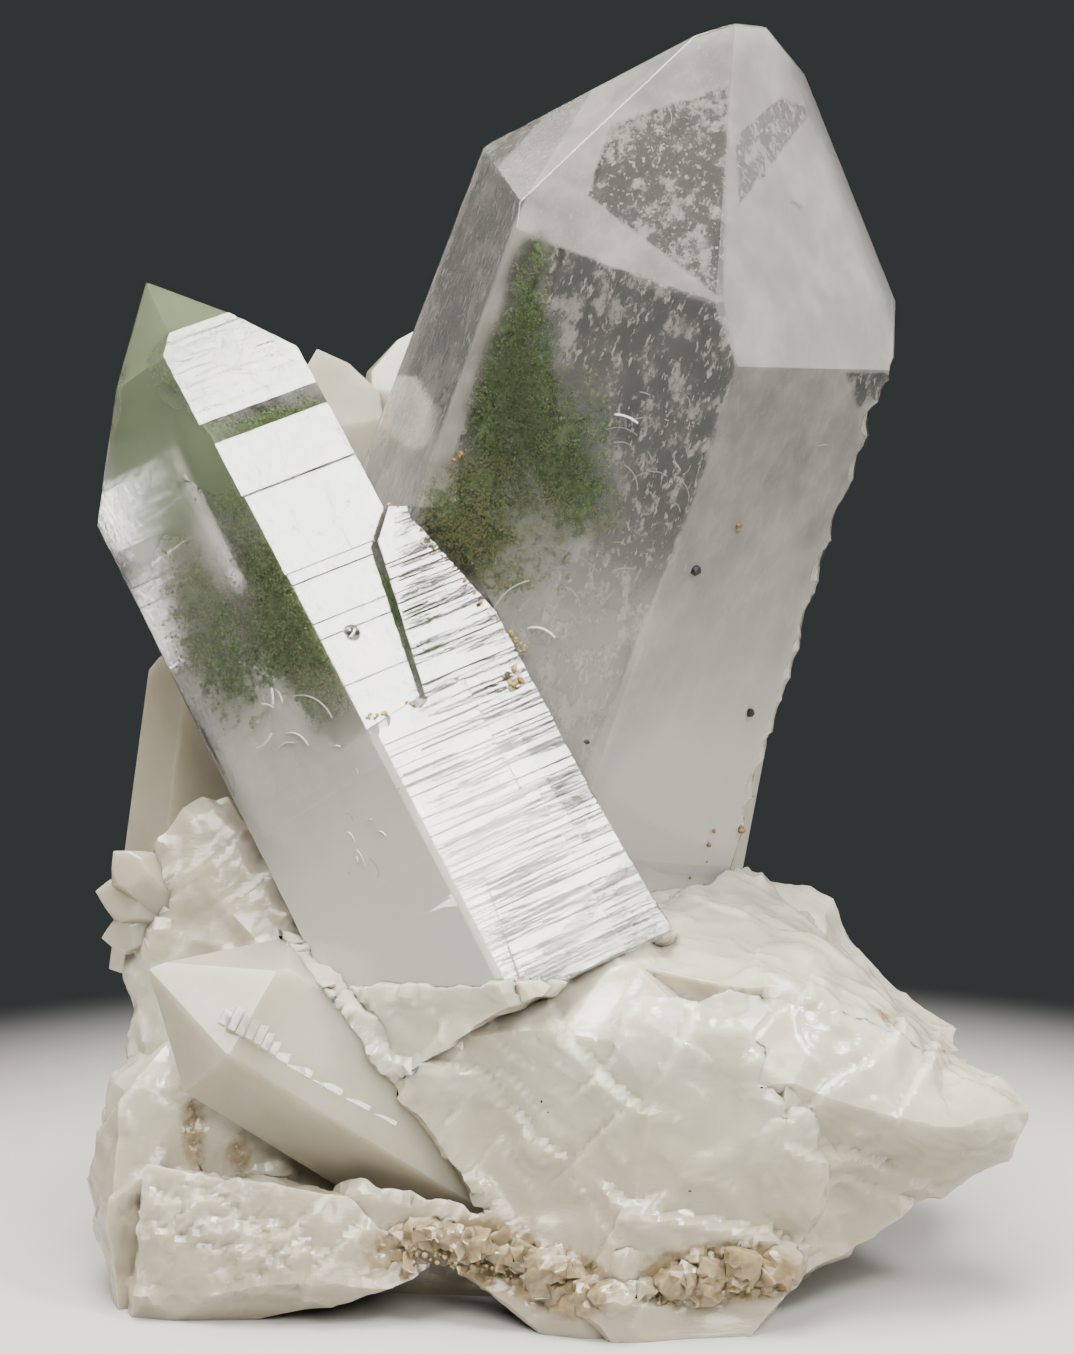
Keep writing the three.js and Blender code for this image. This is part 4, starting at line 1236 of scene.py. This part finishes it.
tallCracks = [  # middle, face, how many, how far they spread, how large, and the spin of the first
    (onTall(-2.8, -4.3, 6.4), (1, 0), 2, 0.4, 0.8, 40),
    (onTall(2.4, -4.2, 7.7), (1, 1), 3, 0.3, 0.5, 150),
    (onTall(5.6, -2.4, 9.9), (1, 1), 1, 0, 1.5, 60),
    (onTall(3.0, -10.3, 20.8), (0, 0), 7, 1.2, 0.9, 70),
    (onTall(5.4, -10.4, 23.4), (0, 0), 7, 1.2, 0.8, 40),
    (onTall(4.8, -10.7, 29.8), (0, 0), 7, 1.4, 0.9, 80),
    (onTall(5.6, -10.8, 33.2), (0, 0), 6, 1.2, 0.8, 120),
    (onTall(1.6, -10.9, 33.0), (0, 0), 5, 0.9, 2.2, 50),
    (onTall(10.2, -3.4, 25.0), (0, 1), 10, 1.3, 0.9, 30),
    (onTall(10.6, -3.2, 20.0), (0, 1), 8, 1.0, 0.7, 80),
    (onTall(10.0, -3.6, 31.0), (0, 1), 14, 2.2, 0.5, 40),
    (onTall(4.0, -10.9, 39.0), (0, 0), 16, 2.8, 0.45, 60),
]
leaningCracks = [
    (onLeaning(-5.6, -0.3, 24.3), (0, 5), 7, 0.7, 1.3, 20),
    (onLeaning(-5.0, -1.3, 27.0), (0, 5), 7, 0.8, 1.1, 70),
    (onLeaning(-5.2, -1.2, 32.5), (0, 5), 14, 1.9, 0.5, 30),
]
crackMargin = 1.6  # how far the cracks stay from the other faces


def crackFaces(name, crystal, cracks, seed):
    chance = random.Random(seed)
    sheets = []
    planes = crystalPlanes(crystal)
    for middle, (kind, k), count, spread, radius, spin in cracks:  # kind 0 is a prism face, 1 a terminal one
        facing = planes[2 * k + kind][1]
        for i in range(count):
            at = middle + Vector([chance.gauss(0, spread) for _ in range(3)])
            at -= facing * (at - middle).dot(facing)
            for face, outwards in planes:
                near = crackMargin + (at - face).dot(outwards)
                if outwards.dot(facing) < 0.99 and near > 0:
                    at -= outwards * near
            sheets.append(curvedCrack(
                at, facing, radius * chance.uniform(0.4, 1.8), chance.uniform(25, 90),
                chance.uniform(0.04, 0.16), spin + (chance.gauss(0, 45) if i else 0), chance.gauss(0, 14)))
    return joinPieces(sheets, name)


details = [
    crackFaces("tall_cracks", tallCrystal, tallCracks, 41),
    crackFaces("leaning_cracks", leaningCrystal, leaningCracks, 42),
]
whiteCrack = paintPlain("whiteCrack", (0.9, 0.88, 0.82), 0.35, 0.7)
for piece in details:
    piece.data.materials.append(whiteCrack)
details += [scatterCrumbs(name, *crumbs) for name, crumbs in crumbRows.items()]
print("small things made")


# Camera, lamps and floor

def setCamera():
    data = bpy.data.cameras.new("camera")
    data.lens = camera["lens"]
    eye = bpy.data.objects.new("camera", data)
    bpy.context.scene.collection.objects.link(eye)
    back = direction(0, camera["elevation"])
    eye.location = place(camera["aim"]) + back * camera["distance"] * mm
    eye.rotation_euler = (-back).to_track_quat("-Z", "Y").to_euler()
    data.clip_start, data.clip_end = 0.01, 10
    bpy.context.scene.camera = eye


def setLights():
    for name, light in lights.items():
        data = bpy.data.lights.new(name, "AREA")
        data.shape = "SQUARE"
        data.size = light["size"] * mm
        data.energy = light["power"]
        data.color = light["colour"]
        lamp = bpy.data.objects.new(name, data)
        bpy.context.scene.collection.objects.link(lamp)
        towards = direction(*light["towards"])
        lamp.location = place(camera["aim"]) + towards * light["distance"] * mm
        lamp.rotation_euler = towards.to_track_quat("Z", "Y").to_euler()


# The floor fades from solid to gone round a middle in front of the cluster: a painted pool of light on a
# dark table
floorLook = {
    "colour": (0.44, 0.43, 0.41), "radius": 120, "middle": (0, -12, 0), "solidTo": 38, "goneAt": 72}


def setFloor():
    startClean()
    bpy.ops.mesh.primitive_circle_add(
        vertices=128, radius=floorLook["radius"] * mm, fill_type="NGON", location=(0, 0, 0))
    floor = settle(bpy.context.object, "floor")
    material, tree, shader = newMaterial("paleFloor")
    where = placeInMm(tree)
    distance = vectorMaths(tree, "DISTANCE", where, floorLook["middle"])
    tree.links.new(ramp(tree, distance, floorLook["solidTo"], floorLook["goneAt"], 1, 0), shader["Alpha"])
    shader["Base Color"].default_value = (*floorLook["colour"], 1)
    shader["Roughness"].default_value = 0.8
    shader["Specular IOR Level"].default_value = 0.1
    floor.data.materials.append(material)


backdrop = (0.036, 0.042, 0.042, 1)
bounces = {  # few, as the light only has to pass the crystals and the clouds inside them
    "max_bounces": 6, "transmission_bounces": 4, "transparent_max_bounces": 8, "glossy_bounces": 3,
    "diffuse_bounces": 1,
}
setCamera()
setLights()
setFloor()
world = bpy.data.worlds.new("world")
bpy.context.scene.world = world
world.use_nodes = True
world.node_tree.nodes["Background"].inputs["Color"].default_value = backdrop
for name, count in bounces.items():
    setattr(bpy.context.scene.cycles, name, count)

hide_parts("quartz_cluster")
for piece in (base, tall, leaning, lying, *small, *shells, *chlorite, *details):
    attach(piece, "root")
